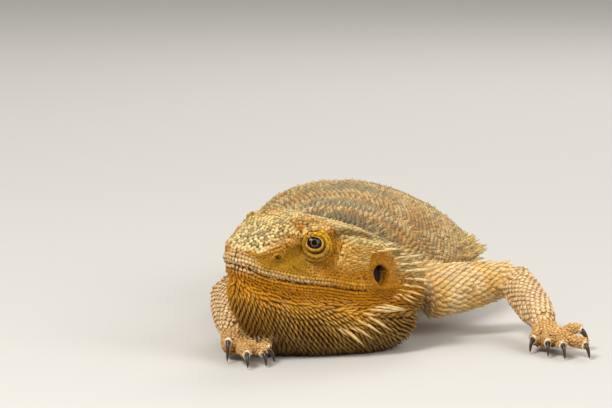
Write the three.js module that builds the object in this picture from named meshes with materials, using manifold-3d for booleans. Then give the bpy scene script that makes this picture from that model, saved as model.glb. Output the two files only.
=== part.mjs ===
// A life-size central bearded dragon (Pogona vitticeps), lying alert on its belly, its head turned right.
// Millimetres. +Z is up, the head points towards -Y, the tail towards +Y, and +X is the animal's left side.
// The origin is on the floor, under the middle of the belly.
import * as THREE from "three";
import { mergeVertices } from "three/addons/utils/BufferGeometryUtils.js";
import Module from "manifold-3d";

const wasm = await Module();
wasm.setup();

// ---- Driving dimensions ----------------------------------------------------------------------------------

const GAP = 0.3; // the thin cut between neighbouring pieces
const ROUND_SECTION = 1; // the exponent of a plain ellipse; a smaller one makes a boxier section

// The head is modelled level, its snout tip at its own origin, looking along -Y, and is then set in place.
const SNOUT_TIP = [-29.1, -105.1, 29.1];
const HEAD_TURN = -34.5; // degrees, to the animal's right
const HEAD_LIFT = -8; // degrees, snout up
const HEAD_ROLL = 7; // degrees, left cheek down
const HEAD_LENGTH = 61; // snout tip to the cut behind the jaws
const EYE = { out: 10.3, back: 20.3, up: 7.9, radius: 4.4 };
const EAR = { out: 20.6, back: 38.6, up: 2.2, long: 3.6, wide: 2.4, deep: 2.0, slant: -18 };
const BROW = { back: 17.5, spread: 9.5, angle: 45, width: 14, rise: 0.2 };
const CROWN = { lean: 0.05, flatten: 0.06, sharpness: 12 }; // how the skull's upper half leaves its section

// Stations along each form: where its middle is, how far it reaches to each side, up and down.
const station = (at, wide, high, low) => ({ at, wide, high, low });

const SKULL = [
  station([0, -0.2, 0.4], 2.0, 2.2, 2.8),
  station([0, 0.8, 0.4], 4.6, 4.7, 4.8),
  station([0, 3, 0.4], 7.0, 7.5, 6.0),
  station([0, 9, 0.2], 10.0, 11.4, 7.6),
  station([0, 15, -0.4], 13.0, 14.2, 8.4),
  station([0, 22, -1.0], 15.4, 15.9, 9.0),
  station([0, 30, -1.6], 17.4, 16.4, 9.8),
  station([0, 39, -2.0], 20.2, 16.6, 10.6),
  station([0, 47, -2.2], 22.6, 15.2, 11.0),
  station([0, 55, -2.4], 24.6, 12.8, 11.0),
  station([0, HEAD_LENGTH, -2.4], 21.6, 10.6, 10.4),
];

// The spiny throat pouch, filled enough to rest on the floor.
const BEARD = [
  station([0, 1.4, -4.6], 2.4, 2.4, 2.2),
  station([0, 5.5, -7.0], 6.2, 5.0, 5.2),
  station([0, 12, -9.6], 9.2, 7.0, 9.0),
  station([0, 21, -11.0], 13.8, 8.0, 13.4),
  station([0, 32, -11.4], 20.0, 8.0, 16.4),
  station([0, 43, -11.0], 24.6, 8.4, 16.0),
  station([0, 51, -10.2], 26.2, 8.4, 14.2),
  station([0, 58, -9.6], 23.0, 7.8, 12.4),
  station([0, 63, -9.2], 15.0, 6.0, 8.6),
];

const KEEL = { front: 0.6, back: 0.1 }; // how far the pouch's underside draws in

// The line of the closed lips, seen from the side and carried on behind the jaws: distance back, height.
const LIPS = [
  [-3, -0.2],
  [4, -0.5],
  [14, -2.0],
  [26, -3.4],
  [36, -4.0],
  [48, -1.6],
  [62, 5.0],
];

const SPINE = [
  station([-10.6, -78, 23.5], 15.0, 14.0, 15.0),
  station([-5.8, -66, 22.0], 18.0, 15.6, 17.0),
  station([-5.2, -52, 19.6], 24.0, 18.4, 17.6),
  station([-3.4, -30, 18.8], 31.0, 21.2, 19.2),
  station([-3.8, -4.4, 18.2], 37.2, 22.2, 19.8),
  station([-5.8, 24, 16.8], 34.0, 19.4, 18.2),
  station([-7.6, 44, 14.4], 25.6, 15.8, 15.4),
  station([-8.5, 61, 12.4], 18.0, 12.6, 13.2),
  station([-9.5, 79, 10.2], 13.2, 10.0, 10.8),
  station([-11.5, 110, 8.0], 9.4, 7.8, 8.5),
  station([-16, 146, 6.2], 7.0, 6.2, 6.6),
  station([-23, 184, 4.9], 5.4, 4.9, 5.2),
  station([-27, 222, 3.7], 4.0, 3.7, 4.0),
  station([-25, 260, 2.6], 2.8, 2.6, 2.8),
  station([-19, 296, 1.3], 1.3, 1.2, 1.4),
];
// Where the spine form is parted, counted in stations. The tail starts behind the vent.
const SPINE_CUTS = { neck: 0.55, chest: 1.7, belly: 3.4, tail: 7.8, tailEnds: [9.0, 10.6, 12.2, 14] };
// The trunk is bent towards the right, so that side of it is narrower and fuller than the left.
const ROOF = { left: 0.22, right: -0.2 }; // how far the back departs from a plain ellipse
const NARROW_RIGHT = 0.16;
const FRINGE = { stand: 0.07, spread: 0.3, from: 2, to: 6.4 }; // the spiny ridge along each flank
const TRUNK = { starts: 1.5, full: 3.5, fades: 6, ends: 8 }; // where the back is roof-shaped, in stations

// Each limb runs from its root through its joint to its end, where the hand or foot starts. heading says
// where that points, in degrees from straight ahead, and fan spreads its digits from there.
const ARMS = {
  left: {
    root: [19, -50, 12.4],
    joint: [46, -40, 16],
    end: [55.6, -67.7, 7.5],
    heading: 15,
    fan: [-38, -11, 1, 18, 58],
  },
  right: {
    root: [-19, -39, 14],
    joint: [-35.4, -60, 14],
    end: [-31, -88.2, 7],
    heading: 30,
    fan: [-42, -18, -1, 14, 32],
  },
};
const UPPER_ARM_RADII = [9, 7.4, 5.7];
const FOREARM_RADII = [5.4, 5.8, 4.3];

// The hind legs trail beside the base of the tail, soles up.
const FOOT_FAN = [-40, -19, -3, 14, 42];
const LEGS = {
  left: {
    root: [0, 60, 12.6],
    joint: [22.6, 56, 10.6],
    end: [12.4, 85, 5.4],
    heading: 166,
    fan: FOOT_FAN,
  },
  right: {
    root: [-17, 60, 12.6],
    joint: [-35.4, 55, 10.6],
    end: [-29, 84.6, 5.4],
    heading: -168,
    fan: FOOT_FAN,
  },
};
const UPPER_SIDES = 11; // facets round an upper arm or thigh
const LOWER_SIDES = 10; // facets round a forearm or shank
const THIGH_RADII = [10.4, 9.0, 6.8];
const SHANK_RADII = [6.7, 6.7, 4.4];

// The five digits of a hand and a foot, from the innermost: reach, thickness, and the last joint's lift.
// outwards says which way round a limb's fan counts as outwards. tipRise is how high the last joints stand
// off the floor, clawReach how far the claws reach ahead of them and clawDrop how far those bend down.
const digit = (reach, radius, lift = 0) => ({ reach, radius, lift });
const HAND = {
  palm: 8,
  outwards: 1,
  tipRise: 2.9,
  clawReach: 2.2,
  clawDrop: 1,
  digits: [digit(5.8, 1.6), digit(12, 1.7), digit(16.6, 1.75), digit(18.4, 1.75), digit(7.8, 1.6, 2)],
};
const FOOT = {
  palm: 12,
  outwards: -1,
  tipRise: 0.4,
  clawReach: 2.9,
  clawDrop: -0.3,
  digits: [digit(11, 1.7), digit(16, 1.8), digit(22, 1.9), digit(26, 1.9), digit(15, 1.7)],
};
const CLAW = { radius: 0.85, rise: 0.8 };

const COLOURS = {
  head: 0xc9963f,
  beard: 0xb97f22,
  back: 0xb59a6c,
  belly: 0xc2ab80,
  limb: 0xc08f56,
  tail: 0xb09468,
  eye: 0x2a1c0c,
  claw: 0x2b211b,
};

// ---- Making and cutting solids ---------------------------------------------------------------------------

/** A manifold-3d solid of a three.js geometry. */
function solidOf(geometry) {
  const bare = geometry.clone();
  bare.deleteAttribute("normal");
  bare.deleteAttribute("uv");
  const merged = mergeVertices(bare, 1e-4);
  const mesh = new wasm.Mesh({
    numProp: 3,
    vertProperties: merged.attributes.position.array,
    triVerts: new Uint32Array(merged.index.array),
  });
  return new wasm.Manifold(mesh);
}

/** The largest of a solid's separate bodies: a cut can leave crumbs behind. */
function mainBody(solid) {
  return solid.decompose().reduce((a, b) => (b.volume() > a.volume() ? b : a));
}

/** A three.js geometry of a solid. */
function geometryOf(solid) {
  const { numProp, vertProperties, triVerts } = solid.getMesh();
  const positions = [];
  for (let i = 0; i < vertProperties.length; i += numProp) {
    positions.push(...vertProperties.subarray(i, i + 3));
  }
  const geometry = new THREE.BufferGeometry();
  geometry.setAttribute("position", new THREE.Float32BufferAttribute(positions, 3));
  geometry.setIndex([...triVerts]);
  geometry.computeVertexNormals();
  return geometry;
}

const bend = (value, exponent) => Math.sign(value) * Math.abs(value) ** exponent;

/**
 * A closed tapering form along stations. It starts as a unit cylinder: each of its rings is carried to its
 * place on a smooth curve through the stations and takes its width, height and depth there. The options say
 * how many facets it has, the stretch it takes in counted in stations, how far it is grown, and its
 * section's shape.
 */
function form(stations, { sides, rings, from = 0, to, grow = 0, shape, square = ROUND_SECTION }) {
  const middle = new THREE.CatmullRomCurve3(stations.map((s) => new THREE.Vector3(...s.at)));
  const sizes = new THREE.CatmullRomCurve3(stations.map((s) => new THREE.Vector3(s.wide, s.high, s.low)));
  const last = stations.length - 1;
  const reach = (to ?? last) - from;
  const geometry = new THREE.CylinderGeometry(1, 1, 1, sides, rings);
  const place = geometry.attributes.position;
  const point = new THREE.Vector3();
  for (let i = 0; i < place.count; i++) {
    const [across, along, upright] = [place.getX(i), place.getY(i), place.getZ(i)];
    const at = from + (along + 0.5) * reach;
    const share = THREE.MathUtils.clamp(at / last, 0, 1);
    const size = sizes.getPoint(share);
    const tangent = middle.getTangent(share);
    const side = new THREE.Vector3().crossVectors(tangent, new THREE.Vector3(0, 0, 1)).normalize();
    const roof = new THREE.Vector3().crossVectors(side, tangent);
    let x = bend(across, square) * (size.x + grow);
    let z = bend(upright, square) * ((upright > 0 ? size.y : size.z) + grow);
    if (shape) [x, z] = shape(x, z, at, Math.atan2(upright, Math.abs(across)));
    point.copy(middle.getPoint(share)).addScaledVector(side, x).addScaledVector(roof, z);
    point.addScaledVector(tangent, 2 * along * grow);
    place.setXYZ(i, point.x, point.y, point.z);
  }
  return solidOf(geometry);
}

/** What lies below the floor: taking it away leaves the flats that the animal rests on. */
const belowFloor = solidOf(new THREE.BoxGeometry(400, 800, 60).translate(0, 100, -30));
const onFloor = (solid) => mainBody(solid.subtract(belowFloor));

const unite = (solids) => solids.reduce((a, b) => a.add(b));
const part = (solid, ...others) => mainBody(others.reduce((rest, other) => rest.subtract(other), solid));

// ---- The head --------------------------------------------------------------------------------------------

const headPlace = new THREE.Matrix4()
  .makeTranslation(...SNOUT_TIP)
  .multiply(
    new THREE.Matrix4().makeRotationFromEuler(
      new THREE.Euler(
        THREE.MathUtils.degToRad(HEAD_LIFT),
        THREE.MathUtils.degToRad(HEAD_ROLL),
        THREE.MathUtils.degToRad(HEAD_TURN),
        "ZXY",
      ),
    ),
  );
const setOnNeck = (solid) => solid.transform(headPlace.toArray());

const skullMiddle = new THREE.CatmullRomCurve3(SKULL.map((s) => new THREE.Vector3(...s.at)));

/** The ridge over each eye, and cheeks that lean in towards the flat crown. */
function skullSection(x, z, at, angle) {
  const back = skullMiddle.getPoint(at / (SKULL.length - 1)).y;
  const degrees = THREE.MathUtils.radToDeg(angle);
  const away = Math.hypot((back - BROW.back) / BROW.spread, (degrees - BROW.angle) / BROW.width);
  const over = Math.exp(-(away ** 2));
  const lean = angle > 0 ? 1 - CROWN.lean * Math.sin(angle) ** 2 : 1;
  const flatten = angle > 0 ? 1 - CROWN.flatten * Math.sin(angle) ** CROWN.sharpness : 1;
  const ridge = 1 + BROW.rise * over;
  return [x * lean * ridge, z * flatten * ridge];
}

/** The pouch narrows towards its underside, most of all under the chin. */
function beardSection(x, z, at, angle) {
  const narrowing = THREE.MathUtils.lerp(KEEL.front, KEEL.back, at / (BEARD.length - 1));
  return [x * (angle < 0 ? 1 - narrowing * Math.sin(angle) ** 2 : 1), z];
}

const skullForm = (grow = 0) =>
  form(SKULL, { sides: 24, rings: 14, grow, shape: skullSection, square: 0.78 });
const beardForm = (grow = 0) =>
  form(BEARD, { sides: 18, rings: 10, grow, shape: beardSection, square: 0.92 });

const eyePlace = (side, radius) =>
  new THREE.SphereGeometry(radius, 12, 8).rotateZ(Math.PI / 2).translate(side * EYE.out, EYE.back, EYE.up);
const eyeSolid = (side, grow = 0) => solidOf(eyePlace(side, EYE.radius + grow));

const earHollow = (side) =>
  solidOf(
    new THREE.SphereGeometry(1, 8, 6)
      .scale(EAR.deep, EAR.wide, EAR.long)
      .rotateX(THREE.MathUtils.degToRad(EAR.slant))
      .translate(side * EAR.out, EAR.back, EAR.up),
  );

/** A thin sheet along the closed lips, which parts the upper head from the jaw and beard. */
function lipCut() {
  const line = new THREE.SplineCurve(LIPS.map(([back, up]) => new THREE.Vector2(back, up))).getPoints(14);
  const outline = new THREE.Shape([
    ...line.map((p) => new THREE.Vector2(p.x, p.y + GAP / 2)),
    ...line.reverse().map((p) => new THREE.Vector2(p.x, p.y - GAP / 2)),
  ]);
  const sheet = new THREE.ExtrudeGeometry(outline, { depth: 80, bevelEnabled: false });
  return solidOf(sheet.translate(0, 0, -40).applyMatrix4(new THREE.Matrix4().set(
    0, 0, 1, 0,
    1, 0, 0, 0,
    0, 1, 0, 0,
    0, 0, 0, 1,
  )));
}

function makeHead() {
  const whole = unite([skullForm(), beardForm()]);
  const hollowed = part(whole, eyeSolid(1, GAP), eyeSolid(-1, GAP), earHollow(1), earHollow(-1));
  const halves = hollowed.subtract(lipCut()).decompose().sort((a, b) => b.volume() - a.volume()).slice(0, 2);
  const [head, beard] = halves.sort((a, b) => b.boundingBox().max[2] - a.boundingBox().max[2]);
  return { head: setOnNeck(head), beard: onFloor(setOnNeck(beard)) };
}
const grownHead = setOnNeck(unite([skullForm(GAP), beardForm(GAP)]));

// ---- Trunk and tail --------------------------------------------------------------------------------------

/** A back that slopes like a roof, and a low ridge of spines along the widest line of each flank. */
function flankSection(x, z, at, angle) {
  const { smoothstep } = THREE.MathUtils;
  const { stand, spread, from, to } = FRINGE;
  const length = smoothstep(at, from, from + 1) * (1 - smoothstep(at, to - 1, to));
  const ridge = 1 + stand * length * Math.exp(-((angle / spread) ** 2));
  const mid = smoothstep(at, TRUNK.starts, TRUNK.full) * (1 - smoothstep(at, TRUNK.fades, TRUNK.ends));
  const slope = angle > 0 ? mid * (x > 0 ? ROOF.left : ROOF.right) : 0;
  const narrow = x > 0 ? 1 : 1 - mid * NARROW_RIGHT;
  return [x * narrow * ridge * Math.cos(angle) ** slope, z * Math.abs(Math.sin(angle)) ** slope];
}

const spineForm = (from, to, rings, sides = 28, grow = 0) =>
  form(SPINE, { sides, rings, from, to, grow, shape: flankSection });

/** Shortens a stretch of the spine form by half a cut at each end, in stations. */
function spinePiece(from, to, rings, sides) {
  const nick = (at) => {
    const [a, b] = [SPINE[Math.floor(at)], SPINE[Math.min(Math.floor(at) + 1, SPINE.length - 1)]];
    return GAP / 2 / Math.max(new THREE.Vector3(...a.at).distanceTo(new THREE.Vector3(...b.at)), 1);
  };
  const end = to >= SPINE.length - 1 ? to : to - nick(to);
  return onFloor(spineForm(from + nick(from), end, rings, sides));
}

// ---- Limbs -----------------------------------------------------------------------------------------------

const along = (a, b, share) => new THREE.Vector3(...a).lerp(new THREE.Vector3(...b), share).toArray();

/** One length of a limb, rounded at both joints, with its radius at the start, the middle and the end. */
function limbForm(start, end, radii, sides, grow = 0) {
  const stations = [0, 0.08, 0.5, 0.92, 1].map((share, i) => {
    const radius = [radii[0] * 0.7, radii[0], radii[1], radii[2], radii[2] * 0.75][i];
    return station(along(start, end, share), radius, radius, radius);
  });
  return form(stations, { sides, rings: 5, grow });
}

/** A level direction, in degrees from straight ahead towards the animal's left. */
const levelDirection = (degrees) => {
  const turn = THREE.MathUtils.degToRad(degrees);
  return new THREE.Vector3(Math.sin(turn), -Math.cos(turn), 0);
};

/** Where a digit starts, bends and ends. Its last joint stands off the floor by the height of its claw. */
function digitPoints(limb, side, paw, which) {
  const one = paw.digits[which];
  const wrist = limb.end;
  const direction = levelDirection(limb.heading + side * paw.outwards * limb.fan[which]);
  const at = (reach, height) =>
    new THREE.Vector3(wrist[0], wrist[1], 0).addScaledVector(direction, reach).setZ(height);
  const tip = paw.palm * 0.35 + one.reach;
  return {
    direction,
    points: [
      at(paw.palm * 0.25, 3.8),
      at(paw.palm * 0.75, 3.4 + paw.tipRise * 0.4),
      at(tip * 0.72, one.radius + paw.tipRise * 0.9 + one.lift),
      at(tip, one.radius + paw.tipRise + one.lift),
    ],
  };
}

/** A palm or sole with its five digits. */
function pawSolid(limb, side, paw, grow = 0) {
  const wrist = limb.end;
  const front = levelDirection(limb.heading).multiplyScalar(paw.palm);
  const palm = form(
    [
      station([wrist[0] - front.x * 0.2, wrist[1] - front.y * 0.2, wrist[2] - 0.4], 3.2, 3.2, 3.6),
      station([wrist[0] + front.x * 0.25, wrist[1] + front.y * 0.25, 4.4], 4.6, 3.4, 4.6),
      station([wrist[0] + front.x * 0.8, wrist[1] + front.y * 0.8, 3.2], 5.2, 2.6, 3.4),
      station([wrist[0] + front.x, wrist[1] + front.y, 3.0], 3.2, 1.6, 2.4),
    ],
    { sides: 8, rings: 4, grow },
  );
  const digits = paw.digits.map((one, which) => {
    const { points } = digitPoints(limb, side, paw, which);
    const thickness = [1.25, 1.15, 1.0, 0.86];
    return form(
      points.map((p, i) => {
        const thick = one.radius * thickness[i];
        return station(p.toArray(), thick, thick, one.radius * 1.1);
      }),
      { sides: 6, rings: 3, grow },
    );
  });
  return unite([palm, ...digits]);
}

/** A curved claw, starting a cut in front of the digit's last joint and reaching down to the floor. */
function clawSolid(limb, side, paw, which, grow = 0) {
  const { direction, points } = digitPoints(limb, side, paw, which);
  const base = points.at(-1).clone().addScaledVector(direction, GAP);
  const { radius, rise } = CLAW;
  const long = paw.clawReach;
  const top = base.z;
  const at = (forward, drop) =>
    base.clone().addScaledVector(direction, forward).setZ(top - paw.clawDrop * drop).toArray();
  return onFloor(
    form(
      [
        station(at(0, 0), radius, radius * 1.2, radius * 1.2),
        station(at(long * 0.5, -rise * 0.4), radius * 0.8, radius, radius),
        station(at(long * 0.92, top * 0.4), radius * 0.55, radius * 0.6, radius * 0.6),
        station(at(long, top - 0.25), radius * 0.25, radius * 0.25, radius * 0.25),
      ],
      { sides: 5, rings: 3, grow },
    ),
  );
}

// ---- Putting the animal together -------------------------------------------------------------------------

const dragon = new THREE.Group();

function add(name, solid, colour, roughness = 0.75) {
  const material = new THREE.MeshStandardMaterial({ color: colour, roughness, metalness: 0 });
  const mesh = new THREE.Mesh(geometryOf(solid), material);
  mesh.name = name;
  dragon.add(mesh);
}

const { head, beard } = makeHead();
const grownTrunk = spineForm(1, 9, 22, 28, GAP);

// Each limb starts inside the body and is cut back to it; its lower length is cut back to the upper one.
function limbPieces(limb, side, upperRadii, lowerRadii, paw) {
  const upperForm = (grow) => limbForm(limb.root, limb.joint, upperRadii, UPPER_SIDES, grow);
  const lowerForm = (grow) => limbForm(limb.joint, limb.end, lowerRadii, LOWER_SIDES, grow);
  return {
    upper: onFloor(part(upperForm(), grownTrunk, grownHead)),
    lower: onFloor(part(lowerForm(), upperForm(GAP), grownTrunk)),
    paw: onFloor(part(pawSolid(limb, side, paw), lowerForm(GAP), grownTrunk)),
  };
}

const solids = {};
for (const [sideName, side] of [["left", 1], ["right", -1]]) {
  const arm = ARMS[sideName];
  const leg = LEGS[sideName];
  const front = limbPieces(arm, side, UPPER_ARM_RADII, FOREARM_RADII, HAND);
  const hind = limbPieces(leg, side, THIGH_RADII, SHANK_RADII, FOOT);
  solids[`upper_arm_${sideName}`] = [front.upper, COLOURS.limb];
  solids[`forearm_${sideName}`] = [front.lower, COLOURS.limb];
  solids[`hand_${sideName}`] = [front.paw, COLOURS.limb];
  solids[`thigh_${sideName}`] = [hind.upper, COLOURS.limb];
  solids[`shank_${sideName}`] = [hind.lower, COLOURS.limb];
  solids[`foot_${sideName}`] = [hind.paw, COLOURS.limb];
  for (const [end, paw, limb] of [
    ["hand", HAND, arm],
    ["foot", FOOT, leg],
  ]) {
    paw.digits.forEach((one, which) => {
      const claw = clawSolid(limb, side, paw, which);
      solids[`claw_${end}_${sideName}_${which + 1}`] = [claw, COLOURS.claw, 0.35];
    });
  }
  solids[`eye_${sideName}`] = [setOnNeck(eyeSolid(side)), COLOURS.eye, 0.1];
}

add("head", head, COLOURS.head);
// The right forearm and hand press into the side of the beard.
const rightArm = ARMS.right;
add(
  "beard",
  part(
    beard,
    limbForm(rightArm.joint, rightArm.end, FOREARM_RADII, LOWER_SIDES, GAP),
    limbForm(rightArm.root, rightArm.joint, UPPER_ARM_RADII, UPPER_SIDES, GAP),
    pawSolid(rightArm, -1, HAND, GAP),
    ...HAND.digits.map((one, which) => clawSolid(rightArm, -1, HAND, which, GAP)),
  ),
  COLOURS.beard,
);
add("neck", part(spinePiece(SPINE_CUTS.neck, SPINE_CUTS.chest, 3, 24), grownHead), COLOURS.back);
add("chest", part(spinePiece(SPINE_CUTS.chest, SPINE_CUTS.belly, 7, 24), grownHead), COLOURS.back);
add("belly", spinePiece(SPINE_CUTS.belly, SPINE_CUTS.tail, 11, 24), COLOURS.back);
[SPINE_CUTS.tail, ...SPINE_CUTS.tailEnds].slice(0, -1).forEach((start, i) => {
  add(`tail_${i + 1}`, spinePiece(start, SPINE_CUTS.tailEnds[i], 5, 16 - 2 * i), COLOURS.tail);
});
for (const [name, [solid, colour, roughness]] of Object.entries(solids)) {
  add(name, solid, colour, roughness);
}

export default dragon;
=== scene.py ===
"""A life-size central bearded dragon (Pogona vitticeps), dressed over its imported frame.

One skin lies inside the flesh of the frame. Scales and spines of solid mesh cover it and follow the lie of
the body, and the eyes and claws are pieces of their own. Lengths are in millimetres unless a name says
otherwise.
"""

import itertools
import math

import bmesh
import bpy
import numpy as np
from mathutils import Matrix, Vector
from mathutils.bvhtree import BVHTree
from mathutils.kdtree import KDTree


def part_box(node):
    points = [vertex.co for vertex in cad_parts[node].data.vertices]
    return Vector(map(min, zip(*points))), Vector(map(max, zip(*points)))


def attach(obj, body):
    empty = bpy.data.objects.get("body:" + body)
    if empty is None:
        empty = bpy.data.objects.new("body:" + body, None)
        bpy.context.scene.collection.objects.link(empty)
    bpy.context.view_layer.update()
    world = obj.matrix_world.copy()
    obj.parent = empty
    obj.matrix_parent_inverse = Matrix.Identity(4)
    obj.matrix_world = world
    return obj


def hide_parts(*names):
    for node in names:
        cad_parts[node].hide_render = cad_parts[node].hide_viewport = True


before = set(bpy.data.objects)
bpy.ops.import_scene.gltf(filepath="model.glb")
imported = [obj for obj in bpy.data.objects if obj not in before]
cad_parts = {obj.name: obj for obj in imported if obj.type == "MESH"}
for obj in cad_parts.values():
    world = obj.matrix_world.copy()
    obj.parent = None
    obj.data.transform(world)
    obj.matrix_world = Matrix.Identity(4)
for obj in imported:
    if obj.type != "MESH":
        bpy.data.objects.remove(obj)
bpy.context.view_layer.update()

bl_info = {
    "name": "Bearded dragon",
    "version": (1, 0, 0),
    "blender": (4, 5, 0),
    "location": "View3D > Sidebar > Dragon",
    "description": "Builds the skin, scales, eyes, claws and stage of a life-size bearded dragon",
    "category": "Add Mesh",
}

MM = 0.001  # metres in a millimetre


def srgb(code):
    """The linear colour of a six-digit sRGB code."""
    parts = [(code >> shift & 255) / 255 for shift in (16, 8, 0)]
    return tuple(c / 12.92 if c <= 0.04045 else ((c + 0.055) / 1.055) ** 2.4 for c in parts)


# ---- The body's places, which repeat the frame's own ----

SNOUT_TIP = np.array((-29.1, -105.1, 29.1))
HEAD_TURNS = (-34.5, -8.0, 7.0)  # degrees about Z, X and Y
EYE = np.array((10.3, 20.2, 7.6))  # in the head's own frame: to the left, back from the snout tip, up
EYE_RADIUS = 4.3
GAZE = (41.0, 13.0)  # degrees: sideways from straight ahead, and up
LIDS_FACE = (48.0, 4.0)  # where the opening between the lids faces, likewise
LIDS_OPEN = (37.5, 3.0)  # degrees from the middle of the opening to the lids, and more than that sideways
EAR = np.array((18.0, 41.6, 1.4))
EAR_RADII = (2.0, 2.8)  # back and up
EAR_LEAN = 22  # degrees
NOSTRIL = np.array((7.8, 8.0, 3.1))
NOSTRIL_RADII = (0.75, 0.55)
POUCH_MIDDLE = np.array((0, -4, 3))  # the spines of the throat pouch point away from here
# The line between the lips: distance back and up.
LIPS = (
    (-3, -0.5),
    (1, -0.8),
    (4.4, -2.1),
    (8, -2.6),
    (14.5, -3.0),
    (24, -2.9),
    (35, -3.2),
    (48, -1.2),
    (62, 5.0),
)
# The ridge from the snout over the eye to the temple: distance back, out and up.
RIDGE = np.array(
    (
        (0, 2.0, 1.6),
        (3, 5.8, 3.2),
        (6.5, 7.4, 5.2),
        (10, 8.7, 6.9),
        (12.5, 9.6, 8.3),
        (15.5, 11.2, 10.5),
        (18.5, 12.7, 12.8),
        (24, 13.3, 12.7),
        (30, 13.4, 11.4),
        (38, 15.0, 9.5),
        (50, 18.0, 7.5),
    )
)
# The middle line of the neck, trunk and tail.
SPINE = np.array(
    (
        (-10.6, -78, 23.5),
        (-5.8, -66, 22),
        (-5.2, -52, 19.6),
        (-3.4, -30, 18.8),
        (-3.8, -4.4, 18.2),
        (-5.8, 24, 16.8),
        (-7.6, 44, 14.4),
        (-8.5, 61, 12.4),
        (-9.5, 79, 10.2),
        (-11.5, 110, 8),
        (-16, 146, 6.2),
        (-23, 184, 4.9),
        (-27, 222, 3.7),
        (-25, 260, 2.6),
        (-19, 296, 1.3),
    )
)
VENT_POINT = 7  # which point of SPINE lies over the vent
# Each limb's root, its elbow or knee, and its wrist or ankle.
LIMBS = {
    "arm_left": ((19, -50, 12.4), (46, -40, 16), (55.6, -67.7, 7.5)),
    "arm_right": ((-19, -39, 14), (-35.4, -60, 14), (-31, -88.2, 7)),
    "leg_left": ((0, 60, 12.6), (22.6, 56, 10.6), (12.4, 85, 5.4)),
    "leg_right": ((-17, 60, 12.6), (-35.4, 55, 10.6), (-29, 84.6, 5.4)),
}
LENGTHS = {"arm": ("upper_arm", "forearm", "hand"), "leg": ("thigh", "shank", "foot")}


def nodes_of(limb):
    """The flesh nodes of a limb, from the body outwards."""
    kind, side = limb.split("_")
    return [f"{length}_{side}" for length in LENGTHS[kind]]


PAWS = {limb: nodes_of(limb)[2] for limb in LIMBS}
TRUNK = ["neck", "chest", "belly"]
TAIL = ["tail_1", "tail_2", "tail_3", "tail_4"]
FLESH = ["head", "beard", *TRUNK, *TAIL]
FLESH += [name for limb in LIMBS for name in nodes_of(limb)[:2]] + list(PAWS.values())
EYES = ["eye_left", "eye_right"]

# How deep the skin lies inside each flesh node, and its scales: how far apart, how long and wide for that,
# how high, and how far their tips stand off the skin in degrees.
COAT = {
    "head": (0.45, 0.95, 1.4, 1.26, 0.28, 4),
    "beard": (1.2, 1.45, 2.2, 1.1, 0.62, 16),
    "neck": (0.9, 1.5, 1.45, 1.0, 0.6, 13),
    "chest": (0.7, 1.5, 1.25, 1.08, 0.42, 7),
    "belly": (0.7, 1.5, 1.25, 1.08, 0.42, 7),
    "under": (0.7, 1.6, 1.25, 1.12, 0.3, 4),
    "tail": (0.5, 1.8, 1.55, 1.08, 0.5, 10),
    "upper": (0.55, 1.75, 1.45, 1.2, 0.42, 5),
    "lower": (0.4, 1.65, 1.5, 1.28, 0.36, 4),
    "paw": (0.0, 1.0, 1.5, 1.38, 0.3, 3),
}


def kind_of(node):
    """The row of COAT that a flesh node follows."""
    if node.startswith(("upper", "thigh")):
        return "upper"
    if node.startswith(("forearm", "shank")):
        return "lower"
    if node.startswith(("hand", "foot")):
        return "paw"
    return "tail" if node.startswith("tail") else node


# ---- Numbers ----


def turn(degrees, axis):
    """The matrix of a turn about one axis."""
    return np.array(Matrix.Rotation(math.radians(degrees), 3, axis))


HEAD_AXES = turn(HEAD_TURNS[0], "Z") @ turn(HEAD_TURNS[1], "X") @ turn(HEAD_TURNS[2], "Y")


def to_head(points):
    """Points in the head's own frame: x to the animal's left, y back from the snout tip, z up."""
    return (points - SNOUT_TIP) @ HEAD_AXES


def from_head(points):
    """Points in the head's own frame, put in the body's."""
    return np.asarray(points) @ HEAD_AXES.T + SNOUT_TIP


def mirrored(q, place):
    """Each point measured from the one of a pair of places, left and right, that is on its side."""
    return q - place * np.column_stack([np.where(q[:, 0] < 0, -1, 1), *[np.ones(len(q))] * 2])


def unit(vectors):
    """Vectors brought to length one."""
    vectors = np.asarray(vectors, float)
    return vectors / np.maximum(np.linalg.norm(vectors, axis=-1, keepdims=True), 1e-9)


def step(low, high, x):
    """0 below low, 1 above high, and smooth between them. low may be the larger."""
    t = np.clip((np.asarray(x, float) - low) / (high - low), 0, 1)
    return t * t * (3 - 2 * t)


def bump(x, width):
    """1 at zero, falling smoothly to nothing over about twice the width."""
    return np.exp(-((np.asarray(x) / width) ** 2))


def mix(a, b, share):
    """a where share is 0, b where it is 1. share may have one number for each row of a."""
    a, b, share = np.asarray(a), np.asarray(b), np.asarray(share, float)
    if share.ndim == 1 and (2 in (a.ndim, b.ndim) or (3,) in (a.shape, b.shape)):
        share = share[:, None]
    return a * (1 - share) + b * share


def hashed(cells, seed):
    """A number from 0 to 1 for each whole-numbered cell."""
    n = (cells * np.array((73856093, 19349663, 83492791))).sum(-1) + seed * 40503
    n = (n ^ (n >> 13)) * 1274126177
    n = n ^ (n >> 16)
    return (n & 0xFFFF) / 65535.0


def noise(points, size, seed=0):
    """Smooth noise from 0 to 1 with lumps of the given size."""
    scaled = points / size
    cell = np.floor(scaled).astype(np.int64)
    f = scaled - cell
    f = f * f * (3 - 2 * f)
    total = np.zeros(len(points))
    for corner in itertools.product((0, 1), repeat=3):
        weight = np.prod([f[:, i] if corner[i] else 1 - f[:, i] for i in range(3)], axis=0)
        total += weight * hashed(cell + np.array(corner), seed)
    return total


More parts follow.
